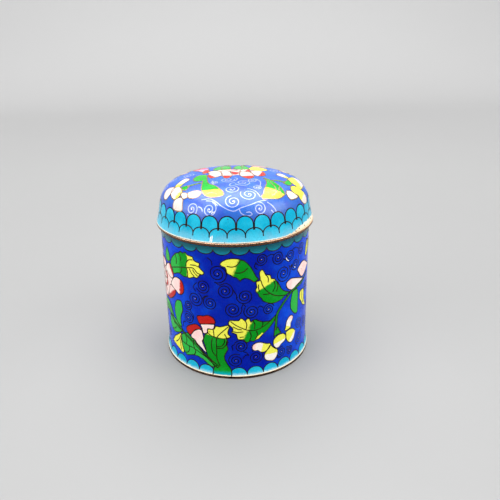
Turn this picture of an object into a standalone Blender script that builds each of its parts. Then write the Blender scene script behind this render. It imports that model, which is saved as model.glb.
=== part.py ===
"""A round cloisonne enamel box with a domed lift-off lid, modelled at its real size.

Metres, +Z up. The origin is on the surface that the box stands on, under its middle.
Every piece is turned about the Z axis. The pieces stack from the foot rim up, and each one takes its
place from the piece below it, with a joint gap between them.
"""

import math

import bpy

# Driving dimensions of the body
WALL_RADIUS = 0.03635
ENAMELLED_WALL = 0.0019
FLOOR_THICKNESS = 0.0019
FOOT_FLARE = 0.00095
FOOT_FLARE_HEIGHT = 0.0050
MOUTH_FLARE = 0.0005
MOUTH_FLARE_HEIGHT = 0.0032
CUP_HEIGHT = 0.0657
BASE_RECESS = 0.0011
INNER_CORNER = 0.0030

# Driving dimensions of the bare copper rims
FOOT_RIM_HEIGHT = 0.0010
FOOT_RIM_WIDTH = 0.0022
MOUTH_RIM_HEIGHT = 0.00075
MOUTH_RIM_PROUD = 0.00030
COLLAR_HEIGHT = 0.0040
COLLAR_THICKNESS = 0.0008
LID_RIM_HEIGHT = 0.00075
RIM_EDGE = 0.00020

# Driving dimensions of the lid
LID_OVERHANG = 0.00095
LID_FLARE = 0.0026
LID_WALL = 0.0018
LID_HEIGHT = 0.0211
LID_FLARE_REACH = 0.0064
LID_SIDE_POWER = 3.0
LID_CROWN_POWER = 4.6

# Fits
JOINT_GAP = 0.0003
COLLAR_CLEARANCE = 0.0004

# Facets
STEPS_ROUND = 64
FLARE_STEPS = 5
CORNER_STEPS = 3
DOME_STEPS = 14

# Places that follow from the sizes above
FOOT_RADIUS = WALL_RADIUS + FOOT_FLARE
MOUTH_RADIUS = WALL_RADIUS + MOUTH_FLARE
MOUTH_RIM_RADIUS = MOUTH_RADIUS + MOUTH_RIM_PROUD
LID_RADIUS = MOUTH_RIM_RADIUS + LID_OVERHANG
LID_SHOULDER_RADIUS = LID_RADIUS - LID_FLARE
CUP_BOTTOM = FOOT_RIM_HEIGHT + JOINT_GAP
CUP_TOP = CUP_BOTTOM + CUP_HEIGHT
FLOOR_BOTTOM = CUP_BOTTOM + BASE_RECESS
FLOOR_TOP = FLOOR_BOTTOM + FLOOR_THICKNESS
MOUTH_RIM_BOTTOM = CUP_TOP + JOINT_GAP
MOUTH_RIM_TOP = MOUTH_RIM_BOTTOM + MOUTH_RIM_HEIGHT
LID_RIM_BOTTOM = MOUTH_RIM_TOP + JOINT_GAP
LID_RIM_TOP = LID_RIM_BOTTOM + LID_RIM_HEIGHT
LID_BOTTOM = LID_RIM_TOP + JOINT_GAP
LID_TOP = LID_BOTTOM + LID_HEIGHT
CUP_BORE = WALL_RADIUS - ENAMELLED_WALL


def clear_scene():
    for item in list(bpy.data.objects):
        bpy.data.objects.remove(item, do_unlink=True)


def collection_named(name):
    collection = bpy.data.collections.new(name)
    bpy.context.scene.collection.children.link(collection)
    return collection


def material_named(name, colour, roughness, metallic):
    material = bpy.data.materials.new(name)
    material.use_nodes = True
    shader = material.node_tree.nodes["Principled BSDF"]
    shader.inputs["Base Color"].default_value = (*colour, 1.0)
    shader.inputs["Roughness"].default_value = roughness
    shader.inputs["Metallic"].default_value = metallic
    return material


def turned(name, profile, material, collection, closed):
    """A solid turned from (radius, height) points that run down its outer side."""
    mesh = bpy.data.meshes.new(name)
    count = len(profile)
    edges = [(i, i + 1) for i in range(count - 1)]
    if closed:
        edges.append((count - 1, 0))
    mesh.from_pydata([(radius, 0.0, height) for radius, height in profile], edges, [])
    mesh.materials.append(material)
    piece = bpy.data.objects.new(name, mesh)
    collection.objects.link(piece)
    screw = piece.modifiers.new("Turn", "SCREW")
    screw.axis = "Z"
    screw.angle = math.tau
    screw.steps = STEPS_ROUND
    screw.render_steps = STEPS_ROUND
    screw.use_merge_vertices = True
    screw.merge_threshold = 0.00001
    screw.use_smooth_shade = True
    return piece


def ease(share):
    """Rises from 0 to 1, level at the start and steepest at the end, like metal spun outwards."""
    return share * share


def cup_outer_side():
    """The wall from the mouth down: flared, straight, then flared to the foot."""
    points = []
    for i in range(FLARE_STEPS + 1):
        share = 1.0 - i / FLARE_STEPS
        height = CUP_TOP - MOUTH_FLARE_HEIGHT * (1.0 - share)
        points.append((WALL_RADIUS + MOUTH_FLARE * ease(share), height))
    for i in range(FLARE_STEPS + 1):
        share = i / FLARE_STEPS
        height = CUP_BOTTOM + FOOT_FLARE_HEIGHT * (1.0 - share)
        points.append((WALL_RADIUS + FOOT_FLARE * ease(share), height))
    return points


def cup_inner_side():
    """The bore from the middle of the floor up to the mouth, with a rounded corner."""
    points = [(0.0, FLOOR_TOP)]
    for i in range(CORNER_STEPS + 1):
        angle = math.pi / 2 * i / CORNER_STEPS
        radius = CUP_BORE - INNER_CORNER * (1.0 - math.sin(angle))
        points.append((radius, FLOOR_TOP + INNER_CORNER * (1.0 - math.cos(angle))))
    for i in range(FLARE_STEPS + 1):
        share = i / FLARE_STEPS
        height = CUP_TOP - MOUTH_FLARE_HEIGHT * (1.0 - share)
        points.append((CUP_BORE + MOUTH_FLARE * ease(share), height))
    return points


def make_cup(material, collection):
    foot_inner = FOOT_RADIUS - ENAMELLED_WALL
    underside = [
        (foot_inner, CUP_BOTTOM),
        (foot_inner - BASE_RECESS, FLOOR_BOTTOM),
        (0.0, FLOOR_BOTTOM),
    ]
    profile = cup_inner_side() + cup_outer_side() + underside
    return turned("body_cup", profile, material, collection, closed=False)


def ring_profile(inner, outer, bottom, top):
    """A flat band whose two outer edges are eased."""
    return [
        (inner, bottom),
        (inner, top),
        (outer - RIM_EDGE, top),
        (outer, top - RIM_EDGE),
        (outer, bottom + RIM_EDGE),
        (outer - RIM_EDGE, bottom),
    ]


def make_foot_rim(material, collection):
    profile = ring_profile(FOOT_RADIUS - FOOT_RIM_WIDTH, FOOT_RADIUS, 0.0, FOOT_RIM_HEIGHT)
    return turned("foot_rim", profile, material, collection, closed=True)


def make_mouth_rim(material, collection):
    """The band on the cup's edge, with the upright collar that the lid slips over."""
    outer = MOUTH_RIM_RADIUS
    lid_bore = lid_radius_at(COLLAR_HEIGHT) - LID_WALL
    collar_outer = min(CUP_BORE, lid_bore - COLLAR_CLEARANCE)
    collar_top = MOUTH_RIM_TOP + COLLAR_HEIGHT
    profile = [
        (collar_outer - COLLAR_THICKNESS, MOUTH_RIM_BOTTOM),
        (collar_outer - COLLAR_THICKNESS, collar_top),
        (collar_outer - RIM_EDGE, collar_top),
        (collar_outer, collar_top - RIM_EDGE),
        (collar_outer, MOUTH_RIM_TOP),
        (outer - RIM_EDGE, MOUTH_RIM_TOP),
        (outer, MOUTH_RIM_TOP - RIM_EDGE),
        (outer, MOUTH_RIM_BOTTOM + RIM_EDGE),
        (outer - RIM_EDGE, MOUTH_RIM_BOTTOM),
    ]
    return turned("mouth_rim", profile, material, collection, closed=True)


def make_lid_rim(material, collection):
    profile = ring_profile(LID_RADIUS - LID_WALL, LID_RADIUS, LID_RIM_BOTTOM, LID_RIM_TOP)
    return turned("lid_rim", profile, material, collection, closed=True)


def lid_point(angle):
    """The lid's outer face, from its edge at angle 0 to its crown at a quarter turn."""
    radius = LID_SHOULDER_RADIUS * math.cos(angle) ** (2.0 / LID_SIDE_POWER)
    rise = LID_HEIGHT * math.sin(angle) ** (2.0 / LID_CROWN_POWER)
    radius += LID_FLARE * math.exp(-rise / LID_FLARE_REACH) * math.cos(angle)
    return radius, rise


def lid_angles():
    """Closer together where the shoulder turns."""
    angles = [0.0]
    for i in range(1, DOME_STEPS):
        share = i / DOME_STEPS
        angles.append(math.pi / 2 * share ** 2 * (3.0 - 2.0 * share) ** 0.5)
    return angles


def lid_radius_at(rise):
    """The outer radius at a height above the lid's edge."""
    low, high = 0.0, math.pi / 2
    for _ in range(40):
        middle = (low + high) / 2
        if lid_point(middle)[1] < rise:
            low = middle
        else:
            high = middle
    return lid_point(low)[0]


def inward(points, distance):
    """Points moved square to the curve, towards the hollow side."""
    moved = []
    for i, (radius, rise) in enumerate(points):
        before = points[max(i - 1, 0)]
        after = points[min(i + 1, len(points) - 1)]
        along = (after[0] - before[0], after[1] - before[1])
        length = math.hypot(*along)
        moved.append((radius - distance * along[1] / length, rise + distance * along[0] / length))
    return moved


def make_lid(material, collection):
    outer = [lid_point(angle) for angle in lid_angles()]
    inner = inward(outer, LID_WALL)
    inner[0] = (outer[0][0] - LID_WALL, 0.0)
    inner = [point for point in inner if point[0] > LID_WALL]
    up_inside = [(radius, LID_BOTTOM + rise) for radius, rise in inner]
    down_outside = [(radius, LID_BOTTOM + rise) for radius, rise in reversed(outer)]
    crown_inside = (0.0, LID_TOP - LID_WALL)
    crown_outside = (0.0, LID_TOP)
    profile = [crown_outside] + down_outside + up_inside + [crown_inside]
    return turned("lid", profile, material, collection, closed=False)


def main():
    clear_scene()
    collection = collection_named("cloisonne_box")
    blue_enamel = material_named("blue enamel", (0.02, 0.06, 0.55), 0.12, 0.0)
    lid_enamel = material_named("lid enamel", (0.03, 0.10, 0.62), 0.12, 0.0)
    copper = material_named("bare copper", (0.55, 0.28, 0.14), 0.35, 1.0)
    make_foot_rim(copper, collection)
    make_cup(blue_enamel, collection)
    make_mouth_rim(copper, collection)
    make_lid_rim(copper, collection)
    make_lid(lid_enamel, collection)


main()
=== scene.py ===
"""Looks of a round cloisonne enamel box, with cells of coloured enamel between thin copper wires.

Drawings are in millimetres on the unrolled surface. On the cup, x runs round the wall from the front to the
right and y is the height. On the lid's skirt, x runs round the edge and y is the way up from the edge. On the
lid's crown, x and y are a plan whose middle is the top, with the front at negative y.
"""

import math

import bmesh
import bpy
from bpy.props import FloatProperty, FloatVectorProperty, IntProperty, PointerProperty
from mathutils import Matrix, Vector


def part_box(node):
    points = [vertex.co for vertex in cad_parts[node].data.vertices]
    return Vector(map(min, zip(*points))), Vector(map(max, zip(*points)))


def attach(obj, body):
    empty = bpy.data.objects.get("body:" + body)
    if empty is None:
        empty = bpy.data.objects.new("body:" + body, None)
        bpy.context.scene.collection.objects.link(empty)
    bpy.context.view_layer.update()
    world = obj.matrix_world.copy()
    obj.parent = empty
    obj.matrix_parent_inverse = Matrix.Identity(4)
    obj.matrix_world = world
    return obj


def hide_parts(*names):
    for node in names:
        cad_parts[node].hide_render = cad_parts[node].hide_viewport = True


bl_info = {
    "name": "Cloisonne Box",
    "version": (1, 0, 0),
    "blender": (4, 5, 0),
    "location": "View3D > Sidebar > Cloisonne",
    "description": "Enamel cells, wires and copper rims of a round lidded box",
    "category": "Object",
}

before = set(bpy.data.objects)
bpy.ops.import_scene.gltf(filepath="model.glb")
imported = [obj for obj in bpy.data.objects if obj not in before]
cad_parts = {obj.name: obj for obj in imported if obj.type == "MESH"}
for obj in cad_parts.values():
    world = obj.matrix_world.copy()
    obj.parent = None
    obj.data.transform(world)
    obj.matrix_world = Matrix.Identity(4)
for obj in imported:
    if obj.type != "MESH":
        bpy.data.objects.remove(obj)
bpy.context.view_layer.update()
CUP_LOW, CUP_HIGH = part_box("body_cup")
LID_LOW, LID_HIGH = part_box("lid")
FOOT_LOW, FOOT_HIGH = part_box("foot_rim")
MOUTH_LOW, MOUTH_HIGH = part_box("mouth_rim")
LID_RIM_LOW, LID_RIM_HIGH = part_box("lid_rim")

MM = 0.001
TURN = math.tau


def length_prop(name, description, default):
    return FloatProperty(
        name=name, description=description, default=default, subtype="DISTANCE", unit="LENGTH"
    )


def angle_prop(name, description, degrees):
    return FloatProperty(
        name=name, description=description, default=math.radians(degrees), subtype="ANGLE", unit="ROTATION"
    )


def colour_prop(name, description, default):
    return FloatVectorProperty(
        name=name, description=description, default=default, subtype="COLOR", size=3, min=0.0, max=1.0
    )


class BoxSizes(bpy.types.PropertyGroup):
    """Sizes of the turned forms, as the frame has them, and of the enamel work."""

    wall: length_prop("Wall", "Thickness of the enamelled cup wall", 0.0019)
    foot_flare: length_prop("Foot flare", "How far the cup spreads at its foot", 0.00095)
    foot_flare_height: length_prop("Foot flare height", "Height over which the foot spreads", 0.0050)
    mouth_flare: length_prop("Mouth flare", "How far the cup spreads at its mouth", 0.0005)
    mouth_flare_height: length_prop("Mouth flare height", "Height over which the mouth spreads", 0.0032)
    base_recess: length_prop("Base recess", "How far the underside is set in", 0.0011)
    floor: length_prop("Floor", "Thickness of the cup's floor", 0.0019)
    inner_corner: length_prop("Inner corner", "Radius between the floor and the wall inside", 0.0030)
    lid_wall: length_prop("Lid wall", "Thickness of the enamelled lid", 0.0018)
    lid_flare: length_prop("Lid flare", "How far the lid spreads at its edge", 0.0026)
    lid_flare_reach: length_prop("Lid flare reach", "Height over which that spread dies out", 0.0064)
    rim_edge: length_prop("Rim edge", "Rounding of the copper rims", 0.00025)
    foot_rim_width: length_prop("Foot rim width", "Width of the ring that the box stands on", 0.0022)
    collar: length_prop("Collar", "Thickness of the collar inside the lid", 0.0008)
    ground_sink: length_prop("Ground sink", "How far the blue ground lies below the wires", 0.00012)
    enamel_depth: length_prop("Enamel depth", "How deep a cell is filled", 0.00040)
    wire: length_prop("Wire", "Width of an outline wire", 0.00044)
    scroll_wire: length_prop("Scroll wire", "Width of a cloud scroll wire", 0.00044)
    round_steps: IntProperty(name="Steps", description="Facets round each turned piece", default=240, min=32)
    cup_scales: IntProperty(name="Cup scales", description="Scales round the cup", default=29, min=8)
    lid_scales: IntProperty(name="Lid scales", description="Scales round the lid", default=30, min=8)


class BoxColours(bpy.types.PropertyGroup):
    """Colours of the enamels and the copper."""

    cobalt: colour_prop("Cobalt", "Ground of the cup", (0.0, 0.060, 0.56))
    # Painted shade: the ground's colour where the wall faces the front and the back
    cobalt_shade: colour_prop("Deep cobalt", "Ground in the middle of each drawing", (0.0, 0.004, 0.26))
    turquoise: colour_prop("Turquoise", "Scales", (0.0, 0.30, 0.46))
    turquoise_pale: colour_prop("Pale turquoise", "Scales where the enamel thins", (0.02, 0.42, 0.58))
    # Painted shade: the scales' colour under the mouth's rim
    turquoise_shade: colour_prop("Deep turquoise", "Scales under the rim", (0.003, 0.085, 0.11))
    # Pale enamel and painted highlight next to a rim
    milk_and_highlight: colour_prop("Milk", "Thin enamel next to a rim", (0.52, 0.66, 0.66))
    leaf: colour_prop("Leaf", "Green of the leaves", (0.0, 0.22, 0.008))
    leaf_pale: colour_prop("Pale leaf", "Lighter clouds in the green", (0.018, 0.36, 0.045))
    lemon: colour_prop("Lemon", "Yellow of leaf tips and petals", (0.72, 0.71, 0.075))
    white: colour_prop("White", "White petals", (0.80, 0.76, 0.69))
    pink: colour_prop("Pink", "Pink petals", (0.82, 0.54, 0.51))
    red: colour_prop("Red", "Red petal tips", (0.42, 0.006, 0.004))
    copper: colour_prop("Copper", "Polished copper", (0.80, 0.46, 0.29))
    copper_brown: colour_prop("Brown copper", "Copper gone brown", (0.16, 0.075, 0.035))
    # Pale edge enamel and painted highlight; also the pale part of the bare patch on the lid
    cream_and_highlight: colour_prop("Cream", "Thin enamel along the edges", (0.80, 0.68, 0.50))
    chip: colour_prop("Chip", "Bare patch on the lid's edge", (0.66, 0.46, 0.28))


def sizes():
    return bpy.context.scene.cloisonne_sizes


def colours():
    return bpy.context.scene.cloisonne_colours


# The turned surfaces


def wall_radius():
    return CUP_HIGH.x - sizes().foot_flare


def cup_radius(height):
    """Outer radius of the cup, with its two flares."""
    s = sizes()
    foot = (CUP_LOW.z + s.foot_flare_height - height) / s.foot_flare_height
    mouth = (height - CUP_HIGH.z + s.mouth_flare_height) / s.mouth_flare_height
    foot, mouth = (min(max(share, 0), 1) for share in (foot, mouth))
    return wall_radius() + s.foot_flare * foot**2 + s.mouth_flare * mouth**2


def on_cup(x, y, lift):
    """A drawing point on the cup, in metres."""
    angle = x * MM / wall_radius()
    radius = cup_radius(y * MM) + lift * MM
    return Vector((radius * math.sin(angle), -radius * math.cos(angle), y * MM))


# The lid's profile is a rounded curve with one power for its side and one for its crown
LID_SIDE_POWER = 3.0
LID_CROWN_POWER = 4.6
LID_SAMPLES = 360


def lid_point(angle):
    """The lid's outer face, from its edge at angle 0 to its crown at a quarter turn."""
    s = sizes()
    flat = max(math.cos(angle), 0.0)
    rise = (LID_HIGH.z - LID_LOW.z) * math.sin(angle) ** (2.0 / LID_CROWN_POWER)
    radius = (LID_HIGH.x - s.lid_flare) * flat ** (2.0 / LID_SIDE_POWER)
    radius += s.lid_flare * math.exp(-rise / s.lid_flare_reach) * flat
    return Vector((radius, LID_LOW.z + rise))


class LidCurve:
    """The lid's profile by length along it, from its edge at 0 to its crown."""

    def __init__(self):
        steps = [math.pi / 2 * (i / LID_SAMPLES) ** 1.6 for i in range(LID_SAMPLES + 1)]
        self.points = [lid_point(angle) for angle in steps]
        self.points[-1].x = 0.0
        self.lengths = [0.0]
        for before, after in zip(self.points, self.points[1:]):
            self.lengths.append(self.lengths[-1] + (after - before).length)
        self.total = self.lengths[-1]

    def at(self, length):
        """Point and outward normal in the profile's own plane."""
        length = min(max(length, 0.0), self.total)
        low, high = 0, len(self.lengths) - 1
        while high - low > 1:
            middle = (low + high) // 2
            if self.lengths[middle] <= length:
                low = middle
            else:
                high = middle
        span = self.lengths[high] - self.lengths[low]
        share = (length - self.lengths[low]) / span if span else 0.0
        point = self.points[low].lerp(self.points[high], share)
        before = self.points[max(low - 1, 0)]
        after = self.points[min(high + 1, len(self.points) - 1)]
        along = (after - before).normalized()
        return point, Vector((along.y, -along.x))


lid_curve = None


def lid_place(length, angle, lift):
    point, normal = lid_curve.at(length)
    point = point + normal * lift * MM
    return Vector((point.x * math.sin(angle), -point.x * math.cos(angle), point.y))


def on_skirt(x, y, lift):
    return lid_place(y * MM, x * MM / LID_HIGH.x, lift)


def on_crown(x, y, lift):
    return lid_place(lid_curve.total - math.hypot(x, y) * MM, math.atan2(x, -y), lift)


# Drawing helpers, all in millimetres


def lerp(a, b, share):
    return (a[0] + (b[0] - a[0]) * share, a[1] + (b[1] - a[1]) * share)


def curve_through(points, closed=False, step=0.8, slack=0.5):
    """A smooth curve through the points. A point given twice is a corner, and less slack is sharper."""
    count = len(points)
    out = []
    for i in range(count if closed else count - 1):
        p1, p2 = points[i], points[(i + 1) % count]
        span = math.dist(p1, p2)
        if span < 1e-6:
            continue
        p0 = points[(i - 1) % count] if closed or i > 0 else p1
        p3 = points[(i + 2) % count] if closed or i + 2 < count else p2
        parts = max(2, math.ceil(span / step))
        for k in range(parts):
            t = k / parts
            h = (2 * t**3 - 3 * t**2 + 1, t**3 - 2 * t**2 + t, 3 * t**2 - 2 * t**3, t**3 - t**2)
            m1 = ((p2[0] - p0[0]) * slack, (p2[1] - p0[1]) * slack)
            m2 = ((p3[0] - p1[0]) * slack, (p3[1] - p1[1]) * slack)
            out.append(tuple(h[0] * p1[j] + h[1] * m1[j] + h[2] * p2[j] + h[3] * m2[j] for j in (0, 1)))
    if not closed:
        out.append(points[-1])
    return out


def arc(cx, cy, rx, ry, start, end, parts=10):
    """Points of an ellipse's arc, with angles in degrees."""
    angles = [math.radians(start + (end - start) * k / parts) for k in range(parts + 1)]
    return [(cx + rx * math.cos(a), cy + ry * math.sin(a)) for a in angles]


def ray(centre, degrees, near, far):
    """The two points of a ray from a centre that lie on a near and on a far ellipse."""
    turn = math.radians(degrees)
    return [(centre[0] + rx * math.cos(turn), centre[1] + ry * math.sin(turn)) for rx, ry in (near, far)]


def band(path, start_width, end_width, step=1.0):
    """Outline of a stem along a path."""
    line = curve_through(path, step=step)
    left, right = [], []
    for i, point in enumerate(line):
        before, after = line[max(i - 1, 0)], line[min(i + 1, len(line) - 1)]
        span = math.dist(before, after)
        side = (-(after[1] - before[1]) / span, (after[0] - before[0]) / span)
        half = (start_width + (end_width - start_width) * i / (len(line) - 1)) / 2
        left.append((point[0] + side[0] * half, point[1] + side[1] * half))
        right.append((point[0] - side[0] * half, point[1] - side[1] * half))
    return left + right[::-1]


def petal(base, tip, width, blunt=4.0, neck=0.6, parts=9):
    """A rounded petal from its base to its tip."""
    axis = (tip[0] - base[0], tip[1] - base[1])
    length = math.hypot(*axis)
    side = (-axis[1] / length, axis[0] / length)
    peak = max((k / 40) ** neck * (1 - (k / 40) ** blunt) ** 0.5 for k in range(41))
    left, right = [], []
    for k in range(parts + 1):
        share = math.sin(math.pi / 2 * k / parts)
        half = width / 2 * share**neck * (1 - share**blunt) ** 0.5 / peak
        middle = lerp(base, tip, share)
        left.append((middle[0] + side[0] * half, middle[1] + side[1] * half))
        right.append((middle[0] - side[0] * half, middle[1] - side[1] * half))
    return right[:-1] + left[:0:-1]


def spiral(cx, cy, radius, start, hand, turns, step=0.55):
    """A cloud scroll, from its outside to its middle. start is in degrees, hand is 1 or -1."""
    length = math.pi * radius * turns
    parts = max(16, math.ceil(length / step))
    out = []
    for k in range(parts + 1):
        share = 1 - (1 - k / parts) ** 0.6 if k < parts else 1.0
        angle = math.radians(start) + hand * TURN * turns * share
        reach = radius * (1 - 0.93 * share)
        out.append((cx + reach * math.cos(angle), cy + reach * math.sin(angle)))
    return out


class Cell:
    """One filled cell: its outline, its enamel, and where its second colour starts and is full."""

    def __init__(self, outline, enamel, fade=None, lift=0.0, pale_end=True):
        self.outline = outline
        self.enamel = enamel
        self.fade = fade
        self.lift = lift
        self.pale_end = pale_end

    def tint(self, x, y):
        if self.fade is None:
            return 0.0
        (ax, ay), (bx, by) = self.fade
        span = (bx - ax) ** 2 + (by - ay) ** 2
        return ((x - ax) * (bx - ax) + (y - ay) * (by - ay)) / span


def signed_area(outline):
    return sum(a[0] * b[1] - b[0] * a[1] for a, b in zip(outline, outline[1:] + outline[:1])) / 2


def without_doubles(outline, least=0.03):
    out = []
    for point in outline:
        if not out or math.dist(point, out[-1]) > least:
            out.append(point)
    if math.dist(out[0], out[-1]) <= least:
        out.pop()
    return out


# Making meshes from drawings

SHARP_EDGE = math.radians(40)
WIRE_DEPTH = 0.30
SCROLL_DEPTH = 0.25


def finish_piece(name, bm, materials, replaced=()):
    """Closes the bmesh into an object that rides on the body."""
    mesh = bpy.data.meshes.new(name)
    bm.to_mesh(mesh)
    bm.free()
    for material in materials:
        mesh.materials.append(material)
    mesh.shade_smooth()
    mesh.set_sharp_from_angle(angle=SHARP_EDGE)
    piece = bpy.data.objects.new(name, mesh)
    bpy.context.scene.collection.objects.link(piece)
    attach(piece, "root")
    if replaced:
        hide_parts(*replaced)
    return piece


def cut_grid(bm, pitch):
    """Cuts flat faces along a grid, so that they can bend with the surface."""
    for axis in (0, 1):
        low = min(v.co[axis] for v in bm.verts)
        high = max(v.co[axis] for v in bm.verts)
        normal = Vector((1, 0, 0)) if axis == 0 else Vector((0, 1, 0))
        place = math.floor(low / pitch[axis]) * pitch[axis]
        while place < high:
            place += pitch[axis]
            near = [f for f in bm.faces if spans(f, axis, place)]
            if near:
                edges = {e for f in near for e in f.edges}
                verts = {v for f in near for v in f.verts}
                bmesh.ops.bisect_plane(
                    bm, geom=[*verts, *edges, *near], dist=1e-5, plane_co=normal * place, plane_no=normal
                )


def spans(face, axis, place):
    values = [v.co[axis] for v in face.verts]
    return min(values) < place - 1e-4 and max(values) > place + 1e-4


def thicken_and_wrap(bm, depth, wrap):
    """Gives flat faces their depth below, and lays them on the surface."""
    bmesh.ops.triangulate(bm, faces=bm.faces[:])
    made = bmesh.ops.extrude_face_region(bm, geom=bm.faces[:], use_keep_orig=True)
    for item in made["geom"]:
        if isinstance(item, bmesh.types.BMVert):
            item.co.z -= depth
    bmesh.ops.recalc_face_normals(bm, faces=bm.faces[:])
    for vert in bm.verts:
        vert.co = wrap(*vert.co)


def build_cells(name, cells, wrap, enamels, pitch=(1.2, 1.2)):
    """One piece that holds many cells, with one material for each enamel."""
    bm = bmesh.new()
    layers = bm.verts.layers.float
    for name_of_layer in ("tint", "pale_end"):
        layers.new(name_of_layer)
    tint, pale_end = layers["tint"], layers["pale_end"]
    order = sorted({cell.enamel for cell in cells})
    for cell in cells:
        outline = without_doubles(cell.outline)
        if signed_area(outline) < 0:
            outline.reverse()
        verts = []
        for x, y in outline:
            vert = bm.verts.new((x, y, cell.lift))
            vert[tint] = cell.tint(x, y)
            vert[pale_end] = float(cell.pale_end)
            verts.append(vert)
        face = bm.faces.new(verts)
        face.material_index = order.index(cell.enamel)
    cut_grid(bm, pitch)
    thicken_and_wrap(bm, sizes().enamel_depth / MM, wrap)
    return finish_piece(name, bm, [enamels[key] for key in order])


def cross_bars(path, width, closed):
    """Pairs of points across a path, square to it."""
    count = len(path)
    bars = []
    for i, point in enumerate(path):
        before = path[(i - 1) % count] if closed or i else point
        after = path[(i + 1) % count] if closed or i + 1 < count else point
        one = unit(before, point) if before != point else unit(point, after)
        two = unit(point, after) if after != point else one
        along = (one[0] + two[0], one[1] + two[1])
        size = math.hypot(*along)
        if size < 0.2:
            along, size = one, 1.0
        stretch = min(2.0 / size, 1.5) if size < 2 else 1.0
        half = width / 2 * stretch
        side = (-along[1] / size * half, along[0] / size * half)
        bars.append(((point[0] + side[0], point[1] + side[1]), (point[0] - side[0], point[1] - side[1])))
    return bars


def unit(a, b):
    span = math.dist(a, b)
    return ((b[0] - a[0]) / span, (b[1] - a[1]) / span)


def lay_wire(bm, path, width, lift, closed):
    """A flat strip swept along a path by extruding its first cross bar."""
    path = without_doubles(path, 0.05)
    bars = cross_bars(path, width, closed)
    if closed:
        bars.append(bars[0])
    left, right = (bm.verts.new((x, y, lift)) for x, y in bars[0])
    first = (left, right)
    edge = bm.edges.new((left, right))
    for new_left, new_right in bars[1:]:
        made = bmesh.ops.extrude_edge_only(bm, edges=[edge])["geom"]
        ends = [item for item in made if isinstance(item, bmesh.types.BMVert)]
        edge = next(e for e in made if isinstance(e, bmesh.types.BMEdge) and set(e.verts) == set(ends))
        if (ends[0].co - left.co).length > (ends[1].co - left.co).length:
            ends.reverse()
        left, right = ends
        left.co = (*new_left, lift)
        right.co = (*new_right, lift)
    if closed:
        bmesh.ops.pointmerge(bm, verts=[first[0], left], merge_co=first[0].co.copy())
        bmesh.ops.pointmerge(bm, verts=[first[1], right], merge_co=first[1].co.copy())


def build_wires(name, wires, wrap, material, depth=WIRE_DEPTH):
    """One piece that holds many wires. Each is (path, width, lift, closed)."""
    whole = bmesh.new()
    for path, width, lift, closed in wires:
        strip = bmesh.new()
        lay_wire(strip, path, width, lift, closed)
        mesh = bpy.data.meshes.new("strip")
        strip.to_mesh(mesh)
        strip.free()
        whole.from_mesh(mesh)
        bpy.data.meshes.remove(mesh)
    thicken_and_wrap(whole, depth, wrap)
    return finish_piece(name, whole, [material])


def spin_profile(profile, closed):
    """A turned solid from (radius, height) points."""
    bm = bmesh.new()
    verts = [bm.verts.new((radius, 0.0, height)) for radius, height in profile]
    pairs = list(zip(verts, verts[1:]))
    if closed:
        pairs.append((verts[-1], verts[0]))
    edges = [bm.edges.new(pair) for pair in pairs]
    bmesh.ops.spin(
        bm, geom=verts + edges, cent=(0, 0, 0), axis=(0, 0, 1), angle=TURN,
        steps=sizes().round_steps, use_merge=True,
    )
    bmesh.ops.remove_doubles(bm, verts=bm.verts[:], dist=1e-7)
    bmesh.ops.recalc_face_normals(bm, faces=bm.faces[:])
    return bm


# Enamel and copper


class Tree:
    """Adds nodes with their inputs to a node tree."""

    def __init__(self, tree):
        self.tree = tree

    def node(self, kind, inputs=None, **settings):
        made = self.tree.nodes.new(kind)
        for name, value in settings.items():
            setattr(made, name, value)
        for key, value in (inputs or {}).items():
            self.put(value, made.inputs[key])
        return made

    def put(self, value, socket):
        if isinstance(value, bpy.types.NodeSocket):
            self.tree.links.new(value, socket)
        elif socket.type == "RGBA":
            socket.default_value = (*value[:3], 1.0)
        else:
            socket.default_value = value

    def math(self, operation, a, b=0.0):
        return self.node("ShaderNodeMath", {0: a, 1: b}, operation=operation).outputs[0]

    def scaled(self, value, factor, offset):
        inputs = {0: value, 1: factor, 2: offset}
        return self.node("ShaderNodeMath", inputs, operation="MULTIPLY_ADD").outputs[0]

    def product(self, first, *others):
        for other in others:
            first = self.math("MULTIPLY", first, other)
        return first

    def mix(self, share, a, b, blend="MIX"):
        inputs = {0: share, 6: a, 7: b}
        return self.node("ShaderNodeMix", inputs, data_type="RGBA", blend_type=blend).outputs[2]

    def mix_both(self, share, base, cloud, colour):
        """The same colour mixed into an enamel's base and its clouds."""
        return self.mix(share, base, tuple(colour)), self.mix(share, cloud, tuple(colour))

    def ramp(self, value, low, high):
        """A smooth step from 0 at low to 1 at high."""
        made = self.node("ShaderNodeMapRange", {0: value, 1: low, 2: high}, interpolation_type="SMOOTHSTEP")
        return made.outputs[0]

    def noise(self, place, scale, detail=2.0):
        inputs = {"Vector": place, "Scale": scale, "Detail": detail}
        return self.node("ShaderNodeTexNoise", inputs).outputs["Fac"]

    def wander(self, place, scale, detail, reach):
        """Noise about zero."""
        return self.math("MULTIPLY", self.math("SUBTRACT", self.noise(place, scale, detail), 0.5), reach)

    def object_place(self):
        return self.node("ShaderNodeTexCoord").outputs["Object"]

    def millimetres(self):
        inputs = {0: self.object_place(), "Scale": 1000.0}
        return self.node("ShaderNodeVectorMath", inputs, operation="SCALE").outputs[0]

    def part_of(self, place, axis):
        return self.node("ShaderNodeSeparateXYZ", {0: place}).outputs[axis]

    def attribute(self, name):
        return self.node("ShaderNodeAttribute", attribute_name=name).outputs["Fac"]

    def lots(self, place, scale):
        """Cells with two random numbers each, and the distance from each cell's middle."""
        cells = self.node("ShaderNodeTexVoronoi", {"Vector": place, "Scale": scale}).outputs
        lot = self.node("ShaderNodeSeparateColor", {0: cells["Color"]}).outputs
        return lot[0], lot[1], cells["Distance"]

    def bump(self, height, strength, distance):
        inputs = {"Height": height, "Strength": strength, "Distance": distance}
        return self.node("ShaderNodeBump", inputs).outputs[0]


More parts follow.
